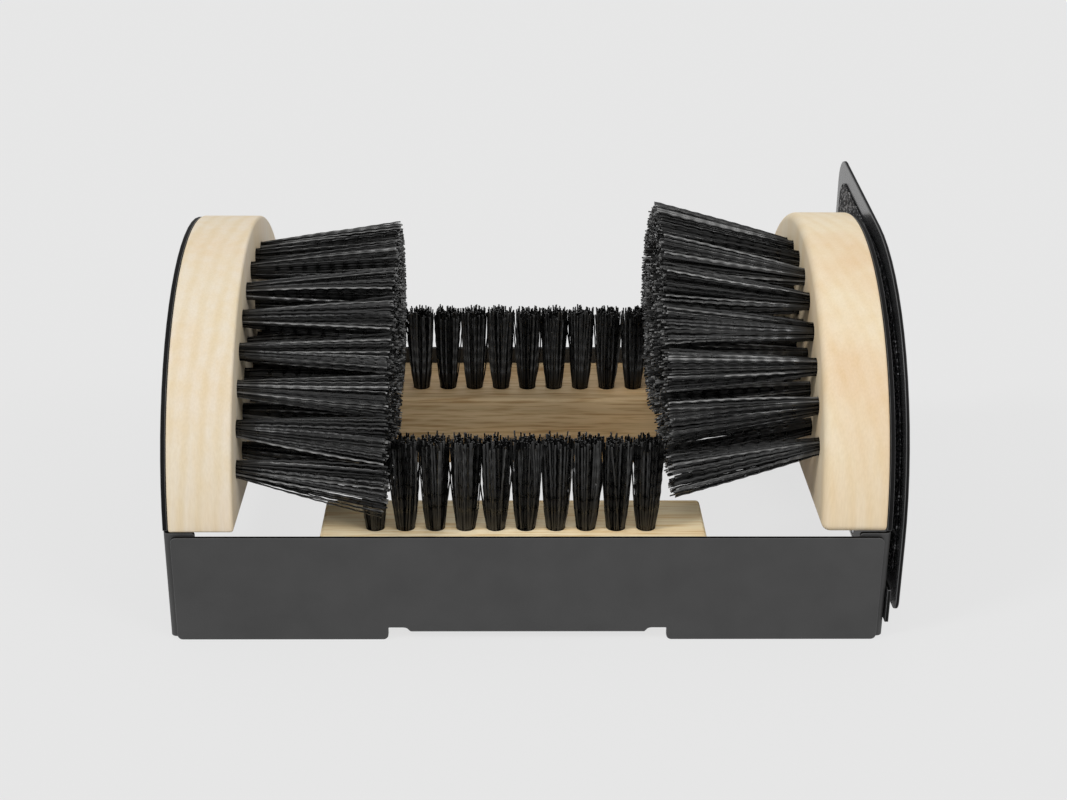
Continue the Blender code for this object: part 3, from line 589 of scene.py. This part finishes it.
left_wood = pale_wood(
    "pale_wood_left",
    grain="Z",
    light=(0.690, 0.612, 0.492, 1),
    line=(0.670, 0.580, 0.435, 1),
    streak=(0.985, 0.945, 0.86, 1),
    patch=(1.0, 0.965, 0.94, 1),
    turn=(0.0, 0.0, 0.12),
    streak_scale=230.0,
    streak_stops=(0.36, 0.66),
)
right_wood = pale_wood(
    "pale_wood_right",
    grain="Z",
    light=(0.735, 0.632, 0.468, 1),
    line=(0.722, 0.608, 0.430, 1),
    streak=(0.98, 0.955, 0.90, 1),
    patch=(0.955, 0.86, 0.79, 1),
    turn=(0.0, 0.0, -0.35),
    streak_scale=230.0,
    streak_stops=(0.36, 0.66),
)
# Each block's side of the brush, the radii of its channel edge and foot corners, and its wood.
SIDE_BLOCKS = [("left", -1, 0.0012, 0.0010, left_wood), ("right", 1, 0.0034, 0.0030, right_wood)]
side_rows = {}
for word, side, channel_round, corner_radius, wood in SIDE_BLOCKS:
    node = word + "_brush_block"
    low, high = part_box(node)
    centre = high[2] - ARCH_RADIUS
    back_x = low[0] if side < 0 else high[0]
    foot = low[2]

    def outline_of_block(inset):
        """The D outline of this block, turned over in y where the block's face looks to the left."""
        return arch_outline(inset, centre, foot, corner_radius) * [-side, 1]

    block = lofted_block(
        word + "_wood_block",
        outline_of_block,
        edge_profile(BLOCK_THICKNESS, PLATE_SIDE_ROUND, channel_round),
        [(0, -side, 0), (0, 0, 1), (-side, 0, 0)],
        (back_x, 0, 0),
    )
    yz = side_tufts(centre, side)
    mouths = np.column_stack([np.full(len(yz), back_x - side * BLOCK_THICKNESS), yz])
    side_rows[word] = mouths
    drill(block, mouths, (side, 0, 0), TUFT_HOLE, TUFT_HOLE_DEPTH)
    block.data.materials.clear()
    block.data.materials.append(wood)
    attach(block, "frame")
    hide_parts(node)

# The bottom blocks. Two low planks of the same wood, with the grain along them, lie on the ledges
# of the aprons. Their top edges are sanded round, and one row of holes is drilled down each.
PLANK_LENGTH = 0.1524
PLANK_DEPTH = 0.046
PLANK_CORNER = 0.0018
PLANK_TOP_ROUND = 0.0017
PLANK_FOOT_ROUND = 0.0012
PLANK_TOP = 0.0376
PLANK_CORNER_STEPS = 6
ROW_TUFTS = 10


def plank_outline(inset):
    """A rectangle with round corners, drawn in by the inset, as (n, 2) points about its middle.

    Each corner is an arc about a centre that lies one corner radius inside both edges.
    """
    corner = PLANK_CORNER - inset
    reach = np.array([PLANK_LENGTH, PLANK_DEPTH]) / 2 - PLANK_CORNER
    signs = np.array([(1, 1), (-1, 1), (-1, -1), (1, -1)])
    quarter = np.linspace(0, math.pi / 2, PLANK_CORNER_STEPS + 1)
    turns = np.arange(4)[:, None] * math.pi / 2 + quarter[None]
    arcs = np.stack([np.cos(turns), np.sin(turns)], axis=-1) * corner
    return (arcs + (signs * reach)[:, None]).reshape(-1, 2)


# The front plank's wood, lightened past its own colour as painted light.
front_wood_painted_light = pale_wood(
    "pale_wood_front_painted_light",
    grain="X",
    light=(1.0, 0.85, 0.58, 1),
    line=(0.97, 0.80, 0.52, 1),
    streak=(0.84, 0.72, 0.54, 1),
    patch=(1.0, 0.96, 0.90, 1),
    turn=(0.5, 0.0, 0.0),
    streak_scale=800.0,
    streak_stops=(0.46, 0.66),
)
# The rear plank's wood, darkened below its own colour as painted shade.
rear_wood_painted_shade = pale_wood(
    "pale_wood_rear_painted_shade",
    grain="X",
    light=(0.69, 0.52, 0.305, 1),
    line=(0.62, 0.46, 0.265, 1),
    streak=(0.66, 0.56, 0.43, 1),
    patch=(1.0, 0.92, 0.82, 1),
    turn=(0.35, 0.0, 0.0),
    streak_scale=900.0,
    streak_stops=(0.46, 0.66),
)
bottom_rows = {}
# Each plank's tuft pitch, how far its row stands to the right and to the rear, and its wood.
PLANKS = [("front", 0.0119, -0.0011, -0.0018, front_wood_painted_light), ("rear", 0.0124, 0.0011, -0.0078, rear_wood_painted_shade)]
for word, pitch, row_slide, row_shift, wood in PLANKS:
    node = word + "_brush_block"
    low, high = (np.array(corner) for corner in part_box(node))
    middle = (low + high) / 2
    plank_profile = edge_profile(PLANK_TOP - low[2], PLANK_FOOT_ROUND, PLANK_TOP_ROUND)
    start = (middle[0], middle[1], low[2])
    axes = [(1, 0, 0), (0, 1, 0), (0, 0, 1)]
    plank = lofted_block(word + "_wood_block", plank_outline, plank_profile, axes, start)
    row_x = middle[0] + row_slide + (np.arange(ROW_TUFTS) - (ROW_TUFTS - 1) / 2) * pitch
    row_y = np.full(ROW_TUFTS, middle[1] + row_shift)
    mouths = np.column_stack([row_x, row_y, np.full(ROW_TUFTS, PLANK_TOP)])
    bottom_rows[word] = mouths
    drill(plank, mouths, (0, 0, -1), TUFT_HOLE, TUFT_HOLE_DEPTH)
    plank.data.materials.clear()
    plank.data.materials.append(wood)
    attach(plank, "frame")
    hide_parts(node)

# The side bristles. Tufts of coarse black crimped nylon are stapled into the holes of the side
# blocks. They leave the wood in tight bundles, fan out, and end in a trimmed, slightly ragged face.
SIDE_BRISTLE = 0.0600
OUTER_STRANDS = 100
INNER_STRANDS = 72
SUNK = 0.0035
MOUTH = 0.0005
PACKED_RADIUS = 0.0033
SIDE_FAN_RADIUS = 0.0082
SIDE_FLARE_POWER = 0.85
DEPTH_SPLAY = 0.13
SIDE_TRIM = (0.036, 0.018)
SIDE_RAGGED = 0.0009
WANDER = 0.15
STRAND_RADIUS = 0.00036
STRAND_SIDES = 3
CRIMP_START = 0.0070
CRIMP_STEP = 0.0028
CRIMP_REACH = 0.00013
BOW_REACH = 0.00040
STRAY_SHARE = 0.015
STRAY_REACH = 0.0045
BOX_MARGIN = 0.0010
GOLDEN_TURN = math.pi * (3 - math.sqrt(5))
TUFT_SLIP = 0.5
STRAND_SLIP = 0.14
CRIMP_GROWTH_STEPS = 3
CRIMP_TURN_SPREAD = 0.55
STRAND_SHARP_DEGREES = 80
DARK_SHARE = 0.68
ROOT_SHARE = 0.25
ROOT_PAINTED_SHADE = (0.35, 0.35, 0.35, 1)
CREST_STOPS = (0.3, 0.8)
HOLLOW_PAINTED_SHADE = (0.45, 0.45, 0.45, 1)
HOLLOW_ROUGHNESS = 0.62
SCUFF_SCALE = 700.0
SCUFF_SPAN = (-0.05, 0.08)
NYLON_SHINE = 0.55


def strand_solids(name, middles, radii, first, second, tones):
    """Closed strands of STRAND_SIDES sides round (n, m, 3) middle points, as one mesh.

    A ring point is the middle point plus the radius times the cosine and the sine of its turn along
    the first and second direction. Every strand is turned by its own angle, from its tone.
    """
    count, rings = middles.shape[:2]
    turns = (tones[:, None] + np.arange(STRAND_SIDES) / STRAND_SIDES) * 2 * math.pi
    spokes = np.cos(turns)[..., None] * first + np.sin(turns)[..., None] * second
    points = middles[:, :, None] + radii[None, :, None, None] * spokes[:, None]
    index = np.arange(count * rings * STRAND_SIDES).reshape(count, rings, STRAND_SIDES)
    turned = np.roll(index, -1, axis=2)
    quads = np.stack([index[:, :-1], turned[:, :-1], turned[:, 1:], index[:, 1:]], axis=-1)
    faces = quads.reshape(-1, 4).tolist()
    faces += index[:, 0, ::-1].tolist() + index[:, -1].tolist()
    mesh = bpy.data.meshes.new(name)
    mesh.from_pydata(points.reshape(-1, 3).tolist(), [], faces)
    mesh.shade_smooth()
    mesh.set_sharp_from_angle(angle=math.radians(STRAND_SHARP_DEGREES))
    along = np.broadcast_to(np.linspace(0, 1, rings)[None, :, None], index.shape)
    tone = np.broadcast_to(tones[:, None, None], index.shape)
    crest = np.broadcast_to((np.arange(rings) % 2)[None, :, None], index.shape)
    for word, values in (("strand_tone", tone), ("strand_along", along), ("strand_crest", crest)):
        layer = mesh.attributes.new(word, "FLOAT", "POINT")
        layer.data.foreach_set("value", np.ascontiguousarray(values, np.float32).ravel())
    return linked(name, mesh)


def crimped_tufts(name, mouths, shift, axes, strands, lengths, trims, tip_radius, flare, ragged, seed):
    """Fanned tufts of crimped strands, of one length but for their ragged tips and the trim.

    mouths are (n, 3) hole mouths, shift the (n, 3) drift of each tuft's tip, axes the way out and
    two directions across it, lengths the places of the rings along a strand, from below the wood
    face to the tip, and trims the (n,) shares of the length that are left in each tuft.

    Strand k of a tuft stands on a golden spiral: its distance from the middle is the root of k over
    the count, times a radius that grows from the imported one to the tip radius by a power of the
    place. A few strands stray. No tip goes past the box of the whole brush. The crimp is a zigzag
    across the strand, nearly in step all through a tuft, and a slow bow is added to it.
    """
    random = np.random.default_rng(seed)
    count = (len(mouths), strands)
    out, first, second = (np.array(axis, float) for axis in axes)

    def across(turn):
        return np.cos(turn)[..., None] * first + np.sin(turn)[..., None] * second

    k = np.arange(strands)[None]
    spoke = across(k * GOLDEN_TURN + random.uniform(0, 2 * math.pi, (len(mouths), 1)))
    spoke = spoke * np.sqrt((k + 0.5) / strands)[..., None]
    wander = across(random.uniform(0, 2 * math.pi, count)) * random.normal(0, WANDER, count)[..., None]
    strays = random.random(count) < STRAY_SHARE
    stray_way = across(random.uniform(0, 2 * math.pi, count)) * (strays * STRAY_REACH)[..., None]
    full = lengths[-1]
    fan = spoke * (tip_radius - PACKED_RADIUS)
    lean = shift[:, None] + wander * tip_radius + stray_way
    aside = np.linalg.norm(fan + lean, axis=-1)
    reach = (np.sqrt(full**2 - aside**2) / full * trims[:, None])[..., None]
    tips = mouths[:, None] + spoke * PACKED_RADIUS + fan + lean + out * full * reach
    low, high = (np.array(corner) for corner in cad_box)
    lean = lean + np.clip(tips, low + BOX_MARGIN, high - BOX_MARGIN) - tips

    places = np.broadcast_to(lengths, (*count, len(lengths))).copy()
    slip = random.uniform(-TUFT_SLIP, TUFT_SLIP, (len(mouths), 1))
    slip = slip + random.uniform(-STRAND_SLIP, STRAND_SLIP, count)
    places[..., lengths >= CRIMP_START] += slip[..., None] * CRIMP_STEP
    places[..., -1] = full + random.uniform(-ragged, ragged, count)
    share = np.clip(places / full, 0, None)[..., None]
    middles = (mouths[:, None] + spoke * PACKED_RADIUS)[:, :, None]
    middles = middles + out * (places * reach)[..., None]
    middles = middles + fan[:, :, None] * share**flare + lean[:, :, None] * share
    grown = np.clip((lengths - CRIMP_START) / (CRIMP_GROWTH_STEPS * CRIMP_STEP), 0, 1)
    zigzag = np.where(np.arange(len(lengths)) % 2 == 0, 1.0, -1.0) * grown * CRIMP_REACH
    crimp_way = across(random.normal(0.5 * math.pi, CRIMP_TURN_SPREAD, count))
    bow_way = across(random.uniform(0, 2 * math.pi, count))
    bow_way = bow_way * random.normal(0, BOW_REACH, count)[..., None]
    middles = middles + crimp_way[:, :, None] * zigzag[:, None]
    middles = middles + bow_way[:, :, None] * np.sin(np.clip(share, 0, 1) * math.pi)
    middles = middles.reshape(-1, len(lengths), 3)
    radii = np.full(len(lengths), STRAND_RADIUS)
    return strand_solids(name, middles, radii, first, second, random.random(len(middles)))


def strand_value(tree, word):
    """A value of the strand's own, from 0 to 1."""
    value = tree.nodes.new("ShaderNodeAttribute")
    value.attribute_name = word
    return value.outputs["Fac"]


def black_nylon(name, dark, light, smooth):
    """Crimped black filament, darker towards its root as painted shade: most strands are of the dark
    colour.

    The others run up to the light colour, a pale grey that is a painted highlight. The crests of the
    crimp take the smooth roughness and a paler colour, a painted highlight, and the hollows stay rough
    and are painted darker, so that a strand's gloss breaks into dashes.
    """
    finish, tree, shader, place = new_finish(name)
    # Painted highlight: a share of the strands runs up to a pale grey that stands in for gloss.
    tones = [(0.0, dark), (DARK_SHARE, dark), (1.0, light)]
    black = colour_ramp(tree, strand_value(tree, "strand_tone"), tones)
    along = strand_value(tree, "strand_along")
    # Painted shade: the strand's colour darkens towards its root.
    root = colour_ramp(tree, along, [(0.0, ROOT_PAINTED_SHADE), (ROOT_SHARE, WHITE)])
    crest = strand_value(tree, "strand_crest")
    # Painted highlight: the crests are paler than the hollows.
    crest_painted_highlight = colour_ramp(tree, crest, list(zip(CREST_STOPS, (HOLLOW_PAINTED_SHADE, WHITE))))
    colour = multiplied(tree, multiplied(tree, black, root), crest_painted_highlight)
    tree.links.new(colour, shader.inputs["Base Color"])
    scuff = span(tree, noise(tree, SCUFF_SCALE, FINE_DETAIL, place), *SCUFF_SPAN)
    gloss = tree.nodes.new("ShaderNodeMath")
    gloss.operation = "ADD"
    tree.links.new(span(tree, crest, HOLLOW_ROUGHNESS, smooth), gloss.inputs[0])
    tree.links.new(scuff, gloss.inputs[1])
    tree.links.new(gloss.outputs[0], shader.inputs["Roughness"])
    shader.inputs["Specular IOR Level"].default_value = NYLON_SHINE
    return finish


# The side tufts' nylon: its pale strands are a painted highlight.
nylon = black_nylon(
    "black_nylon",
    dark=(0.005, 0.005, 0.005, 1),
    light=(0.250, 0.250, 0.246, 1),
    smooth=0.12,
)
crimp_places = np.arange(CRIMP_START, SIDE_BRISTLE - CRIMP_STEP / 2, CRIMP_STEP)
side_lengths = np.concatenate([[-SUNK, MOUTH], crimp_places, [SIDE_BRISTLE]])
# Each brush's way out of the wood, its splay in height, and the seed of its random draws.
SIDE_BRUSHES = [("left", 1, 0.11, 11), ("right", -1, 0.38, 23)]
for word, way, height_splay, seed in SIDE_BRUSHES:
    mouths = side_rows[word]
    yz = mouths[:, 1:]
    middle_z = (yz[:, 1].min() + yz[:, 1].max()) / 2
    drift_yz = (yz - [0, middle_z]) * [DEPTH_SPLAY, height_splay]
    to_rear = yz[:, 0] / ARCH_RADIUS
    trims = 1 - SIDE_TRIM[0] * to_rear**2 - SIDE_TRIM[1] * to_rear
    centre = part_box(word + "_brush_block")[1][2] - ARCH_RADIUS
    from_centre = np.hypot(yz[:, 0], yz[:, 1] - centre)
    outer = from_centre > from_centre.max() - TUFT_ROW_PITCH / 2
    for row_word, chosen, strands in (("outer", outer, OUTER_STRANDS), ("inner", ~outer, INNER_STRANDS)):
        tufts = crimped_tufts(
            f"{word}_{row_word}_tufts",
            mouths[chosen],
            np.column_stack([np.zeros(chosen.sum()), drift_yz[chosen]]),
            [(way, 0, 0), (0, way, 0), (0, 0, 1)],
            strands,
            side_lengths,
            trims[chosen],
            SIDE_FAN_RADIUS,
            SIDE_FLARE_POWER,
            SIDE_RAGGED,
            seed + strands,
        )
        tufts.data.materials.append(nylon)
        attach(tufts, "frame")
        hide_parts(word + "_bristles")

# The bottom bristles. One row of ten round tufts stands up from each plank, of the same nylon.
# They are shorter and stiffer, flare a little, and end in ragged tips of uneven length.
ROW_BRISTLE = 0.0377
ROW_STRANDS = 150
ROW_FAN_RADIUS = 0.0060
ROW_FLARE_POWER = 0.50
ROW_RAGGED = 0.0020
ROW_TRIM = 0.99
ROW_SEEDS = [("front", 41), ("rear", 57)]
row_places = np.arange(CRIMP_START, ROW_BRISTLE - CRIMP_STEP / 2, CRIMP_STEP)
row_lengths = np.concatenate([[-SUNK, MOUTH], row_places, [ROW_BRISTLE]])
dull_nylon = black_nylon(
    "dull_black_nylon",
    dark=(0.003, 0.003, 0.003, 1),
    light=(0.032, 0.032, 0.031, 1),
    smooth=0.18,
)
for word, seed in ROW_SEEDS:
    tufts = crimped_tufts(
        word + "_tufts",
        bottom_rows[word],
        np.zeros((ROW_TUFTS, 3)),
        [(0, 0, 1), (1, 0, 0), (0, 1, 0)],
        ROW_STRANDS,
        row_lengths,
        np.full(ROW_TUFTS, ROW_TRIM),
        ROW_FAN_RADIUS,
        ROW_FLARE_POWER,
        ROW_RAGGED,
        seed,
    )
    tufts.data.materials.append(dull_nylon)
    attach(tufts, "frame")
    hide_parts(word + "_bristles")

# The screws. Zinc-plated pan heads with a cross recess bear on the outside of the side plates and
# under the ledges. Their coarse threads run into the wood.
SCREW_TURN_STEPS = 24
HEAD_RADIUS = 0.0036
HEAD_HEIGHT = 0.0014
SHANK_RADIUS = 0.00155
THREAD_CORE = 0.00105
THREAD_PITCH = 0.0014
THREAD_ROWS = 6
POINT_LENGTH = 0.0040
RECESS_ARM = 0.0017
RECESS_HALF_WIDTH = 0.00042
RECESS_DEPTH = 0.0009
RECESS_OVERRUN = 0.0005
RECESS_MOUTH_SHARE = 1.1
RECESS_ARM_SHARE = 0.55
RECESS_WIDTH_SHARE = 0.8
SIDE_SCREW_LENGTH = 0.0170
BOTTOM_SCREW_LENGTH = 0.0160
HEAD_STEPS = 4
HEAD_DOME_SHARE = 0.75
HEAD_FOOT_RISE = 0.00005
HEAD_FOOT_INSET = 0.00015
NECK_LENGTH = 0.001
THREAD_START = 0.0005
CREST_POWER = 0.7
POINT_SHARE = 0.08
ON_THE_AXIS = 1e-6
SCREW_SHARP_DEGREES = 40
ZINC_CLOUD_SCALE = 500.0
SCRATCH_SCALE = 4000.0
SCRATCH_STRETCH = (1.0, 1.0, 0.08)
SCRATCH_HEIGHT = 0.00001
SCRATCH_STRENGTH = 0.4
POLISHED = 0.08
SCRATCHED = 0.10


def zinc_plate(name, dark, light, rough):
    """Bright zinc plate: a cool silver with slow clouding and fine random scratches."""
    finish, tree, shader, place = new_finish(name)
    shader.inputs["Metallic"].default_value = 1.0
    cloud = noise(tree, ZINC_CLOUD_SCALE, CLOUD_DETAIL, place)
    clouded = colour_ramp(tree, cloud, list(zip(CLOUD_STOPS, (dark, light))))
    tree.links.new(clouded, shader.inputs["Base Color"])
    scratch = noise(tree, SCRATCH_SCALE, FINE_DETAIL, place, SCRATCH_STRETCH)
    tree.links.new(span(tree, scratch, rough - POLISHED, rough + SCRATCHED), shader.inputs["Roughness"])
    tree.links.new(bump(tree, scratch, SCRATCH_HEIGHT, SCRATCH_STRENGTH), shader.inputs["Normal"])
    return finish


def revolved(name, profile, steps):
    """A turned shape about Z: each profile point (radius, height) swept round, poles closed."""
    turns = np.arange(steps) * 2 * math.pi / steps
    body = profile[1:-1]
    ring = np.stack([np.cos(turns), np.sin(turns)], axis=-1)
    flat = body[:, 0, None, None] * ring[None]
    height = np.broadcast_to(body[:, 1, None, None], flat.shape[:2] + (1,))
    points = np.concatenate([flat, height], axis=2).reshape(-1, 3)
    poles = np.array([(0, 0, profile[0, 1]), (0, 0, profile[-1, 1])])
    index = np.arange(len(points)).reshape(len(body), steps)
    turned = np.roll(index, -1, axis=1)
    quads = np.stack([index[:-1], index[1:], turned[1:], turned[:-1]], axis=-1).reshape(-1, 4)
    top = np.column_stack([np.full(steps, len(points)), index[0], turned[0]])
    bottom = np.column_stack([np.full(steps, len(points) + 1), turned[-1], index[-1]])
    mesh = bpy.data.meshes.new(name)
    faces = quads.tolist() + top.tolist() + bottom.tolist()
    mesh.from_pydata(np.vstack([points, poles]).tolist(), [], faces)
    return mesh


def screw_mesh(length):
    """A wood screw, its head's bearing face on z = 0 and its point at minus the length.

    The head is a turned dome. Below it the radius is the core plus the thread's height times a
    power of a triangle wave of the place over the pitch less the turn, so that the crest climbs in
    a helix. Towards the point it all shrinks in proportion.
    """
    rim = np.linspace(0, math.pi / 2, HEAD_STEPS + 1)
    dome_r = HEAD_RADIUS - HEAD_HEIGHT * HEAD_DOME_SHARE * (1 - np.sin(rim))
    dome_z = HEAD_HEIGHT * (1 - HEAD_DOME_SHARE + HEAD_DOME_SHARE * np.cos(rim))
    head = np.column_stack([dome_r, dome_z])
    neck = [(HEAD_RADIUS, HEAD_FOOT_RISE), (HEAD_RADIUS - HEAD_FOOT_INSET, 0), (SHANK_RADIUS, 0)]
    rows = int((length - NECK_LENGTH) / THREAD_PITCH * THREAD_ROWS)
    drop = -np.linspace(NECK_LENGTH, length, rows, endpoint=False)
    shank = np.column_stack([np.full(rows, SHANK_RADIUS), drop])
    profile = np.vstack([[(0, HEAD_HEIGHT)], head, neck, shank, [(0, -length)]])
    mesh = revolved("wood_screw", profile, SCREW_TURN_STEPS)
    points = np.empty(len(mesh.vertices) * 3, np.float32)
    mesh.vertices.foreach_get("co", points)
    points = points.reshape(-1, 3)
    turn = np.arctan2(points[:, 1], points[:, 0]) / (2 * math.pi)
    phase = np.mod(points[:, 2] / THREAD_PITCH - turn, 1)
    crest = 1 - np.abs(2 * phase - 1)
    taper = np.clip((points[:, 2] + length) / POINT_LENGTH, 0, 1)
    wanted = THREAD_CORE + (SHANK_RADIUS - THREAD_CORE) * crest**CREST_POWER
    wanted = wanted * (POINT_SHARE + (1 - POINT_SHARE) * taper)
    radius = np.hypot(points[:, 0], points[:, 1])
    below = (points[:, 2] < -THREAD_START) & (radius > ON_THE_AXIS)
    scale = np.where(below, wanted / np.maximum(radius, ON_THE_AXIS), 1)
    points[:, :2] *= scale[:, None]
    mesh.vertices.foreach_set("co", points.ravel())
    return mesh


def cross_cutter():
    """Two crossed wedges: square at the mouth and narrowing to a blunt point at the recess's depth."""
    top = HEAD_HEIGHT + RECESS_OVERRUN
    floor_z = HEAD_HEIGHT - RECESS_DEPTH
    long = RECESS_ARM * np.array([RECESS_MOUTH_SHARE, RECESS_ARM_SHARE])
    wide = RECESS_HALF_WIDTH * np.array([RECESS_MOUTH_SHARE, RECESS_WIDTH_SHARE])
    signs = np.array([(-1, -1), (1, -1), (1, 1), (-1, 1)], float)
    meshes = []
    for swap in (False, True):
        rings = signs[None] * np.stack([long, wide], axis=-1)[:, None]
        rings = rings[..., ::-1] if swap else rings
        height = np.broadcast_to(np.array([top, floor_z])[:, None, None], rings.shape[:2] + (1,))
        meshes.append(np.concatenate([rings, height], axis=2).reshape(-1, 3))
    joined = bmesh.new()
    for points in meshes:
        verts = [joined.verts.new(point) for point in points]
        for side in range(4):
            ahead_side = (side + 1) % 4
            joined.faces.new((verts[side], verts[ahead_side], verts[4 + ahead_side], verts[4 + side]))
        joined.faces.new(verts[:4])
        joined.faces.new(verts[4:])
    bmesh.ops.recalc_face_normals(joined, faces=joined.faces)
    mesh = bpy.data.meshes.new("cross_recess")
    joined.to_mesh(mesh)
    joined.free()
    return mesh


def finished_screw(length):
    """The screw's mesh with its cross recess cut."""
    piece = linked("screw_blank", screw_mesh(length))
    cutter = linked("recess_blank", cross_cutter())
    cut = piece.modifiers.new("recess", "BOOLEAN")
    cut.operation = "DIFFERENCE"
    cut.solver = "EXACT"
    cut.use_self = True
    cut.object = cutter
    bake_modifiers(piece, SCREW_SHARP_DEGREES)
    made = piece.data
    for blank in (piece, cutter):
        bpy.data.objects.remove(blank, do_unlink=True)
    return made


def set_in_place(name, mesh, place, outward, finish, node):
    """A copy of the mesh whose Z looks outward from the place, as a piece that stands for the node."""
    own = mesh.copy()
    turn = Vector(outward).to_track_quat("Z", "Y").to_matrix().to_4x4()
    own.transform(Matrix.Translation(place) @ turn)
    own.materials.clear()
    own.materials.append(finish)
    piece = linked(name, own)
    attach(piece, "frame")
    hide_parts(node)


zinc = zinc_plate("zinc_plate", dark=(0.46, 0.47, 0.48, 1), light=(0.62, 0.63, 0.64, 1), rough=0.32)
long_screw = finished_screw(SIDE_SCREW_LENGTH)
short_screw = finished_screw(BOTTOM_SCREW_LENGTH)
screw_nodes = [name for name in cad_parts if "brush_screw" in name]
for node in sorted(screw_nodes):
    low, high = (np.array(corner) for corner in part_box(node))
    place = (low + high) / 2
    if node.startswith(("left", "right")):
        way = -1 if node.startswith("left") else 1
        place[0] = low[0] + HEAD_HEIGHT if way < 0 else high[0] - HEAD_HEIGHT
        set_in_place(node + "_turned", long_screw, place, (way, 0, 0), zinc, node)
    else:
        place[2] = low[2] + HEAD_HEIGHT
        set_in_place(node + "_turned", short_screw, place, (0, 0, -1), zinc, node)

# The hinge. A leaf of sheet steel is riveted low on the right side plate, and its lower edge is
# curled into knuckles round a steel pin. The leaf is coated like the frame, and the pin is bare zinc.
LEAF_COAT_ROUND = 0.00025
coated_sheet("hinge_leaf", "frame", frame_finishes, LEAF_COAT_ROUND)
PIN_RADIUS = 0.0009
PIN_ROUND = 0.00025
PIN_ROUND_STEPS = 4
pin_low, pin_high = (np.array(corner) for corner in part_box("hinge_pin"))
pin_length = pin_high[1] - pin_low[1]
pin_turns = np.linspace(0, math.pi / 2, PIN_ROUND_STEPS + 1)
pin_radii = PIN_RADIUS - PIN_ROUND * (1 - np.sin(pin_turns))
pin_places = pin_length / 2 - PIN_ROUND * (1 - np.cos(pin_turns))
pin_end = np.column_stack([pin_radii, pin_places])
pin_profile = np.vstack(
    [[(0, pin_length / 2)], pin_end, pin_end[::-1] * [1, -1], [(0, -pin_length / 2)]]
)
pin_mesh = revolved("hinge_pin_turned", pin_profile, SCREW_TURN_STEPS)
pin_mesh.shade_smooth()
set_in_place("hinge_pin_turned", pin_mesh, (pin_low + pin_high) / 2, (0, 1, 0), zinc, "hinge_pin")

RIVET_HEAD = 0.0030
RIVET_RISE = 0.0008
RIVET_SHANK = 0.0015
RIVET_DOME_STEPS = 6
RIVET_SHARP_DEGREES = 50
rivet_low, rivet_high = (np.array(corner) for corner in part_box("hinge_rivet_1"))
rivet_grip = rivet_high[0] - rivet_low[0] - 2 * RIVET_RISE
dome = np.linspace(0, math.pi / 2, RIVET_DOME_STEPS + 1)[1:]
dome_profile = np.column_stack([RIVET_HEAD * np.sin(dome), RIVET_RISE * np.cos(dome)])
rivet_profile = np.vstack(
    [
        [(0, RIVET_RISE)],
        dome_profile,
        [(RIVET_SHANK, 0), (RIVET_SHANK, -rivet_grip)],
        dome_profile[::-1] * [1, -1] - [0, rivet_grip],
        [(0, -rivet_grip - RIVET_RISE)],
    ]
)
rivet_mesh = revolved("rivet", rivet_profile, SCREW_TURN_STEPS)
rivet_mesh.shade_smooth()
rivet_mesh.set_sharp_from_angle(angle=math.radians(RIVET_SHARP_DEGREES))
for number in (1, 2, 3, 4):
    node = f"hinge_rivet_{number}"
    low, high = (np.array(corner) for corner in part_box(node))
    place = (low + high) / 2
    place[0] = high[0] - RIVET_RISE
    set_in_place(node + "_turned", rivet_mesh, place, (1, 0, 0), zinc, node)

# The step plate. An arched sheet with rounded corners, curled round the pin at its foot. It carries
# the shoe while the other is brushed, and is coated a little smoother and glossier than the frame.
STEP_COAT_ROUND = 0.0003
step_coat = powder_coat(
    "step_powder_coat",
    dark=(0.030, 0.030, 0.031, 1),
    light=(0.040, 0.041, 0.042, 1),
    smooth=0.20,
    rough=0.34,
    peel_share=0.35,
    specular=0.8,
)
step_finishes = [step_coat, cut_edge_painted_shade, rounding_painted_highlight]
coated_sheet("step_plate", "step", step_finishes, STEP_COAT_ROUND)

# The pad. A sheet of black anti-slip grit is glued to the inside of the step plate, which faces up
# when the plate is folded down.
GRAIN_SCALE = 1500.0
GRAIN_STOPS = (0.0, 0.70, 0.82, 1.0)
GRAIN_HEIGHT = 0.0005
GRAIN_STRENGTH = 0.8
DUST_SCALE = 5000.0
DUST_HEIGHT = 0.0001
DUST_STRENGTH = 0.6
GRIT_ROUGHNESS = (0.6, 0.95)
GRIT_SHINE = 0.2
PAD_ROUND = 0.00015


def grit(name, resin, grey, glint):
    """Anti-slip grit in black resin: sharp grains, most of them coated and some of them bare."""
    finish, tree, shader, place = new_finish(name)
    grains = tree.nodes.new("ShaderNodeTexVoronoi")
    grains.feature = "F1"
    grains.inputs["Scale"].default_value = GRAIN_SCALE
    tree.links.new(place, grains.inputs["Vector"])
    one_in_many = tree.nodes.new("ShaderNodeSeparateColor")
    tree.links.new(grains.outputs["Color"], one_in_many.inputs["Color"])
    stops = list(zip(GRAIN_STOPS, (resin, resin, grey, glint)))
    tree.links.new(colour_ramp(tree, one_in_many.outputs["Red"], stops), shader.inputs["Base Color"])
    fine = noise(tree, DUST_SCALE, FINE_DETAIL, place)
    tree.links.new(span(tree, fine, *GRIT_ROUGHNESS), shader.inputs["Roughness"])
    shader.inputs["Specular IOR Level"].default_value = GRIT_SHINE
    coarse = bump(tree, grains.outputs["Distance"], GRAIN_HEIGHT, GRAIN_STRENGTH)
    tree.links.new(bump(tree, fine, DUST_HEIGHT, DUST_STRENGTH, coarse), shader.inputs["Normal"])
    return finish


pad_grit = grit(
    "black_grit",
    resin=(0.010, 0.010, 0.011, 1),
    grey=(0.16, 0.16, 0.165, 1),
    glint=(0.42, 0.42, 0.43, 1),
)
coated_sheet("step_pad", "step", [pad_grit] * 3, PAD_ROUND)

# The scene is brought up to date.
bpy.context.view_layer.update()
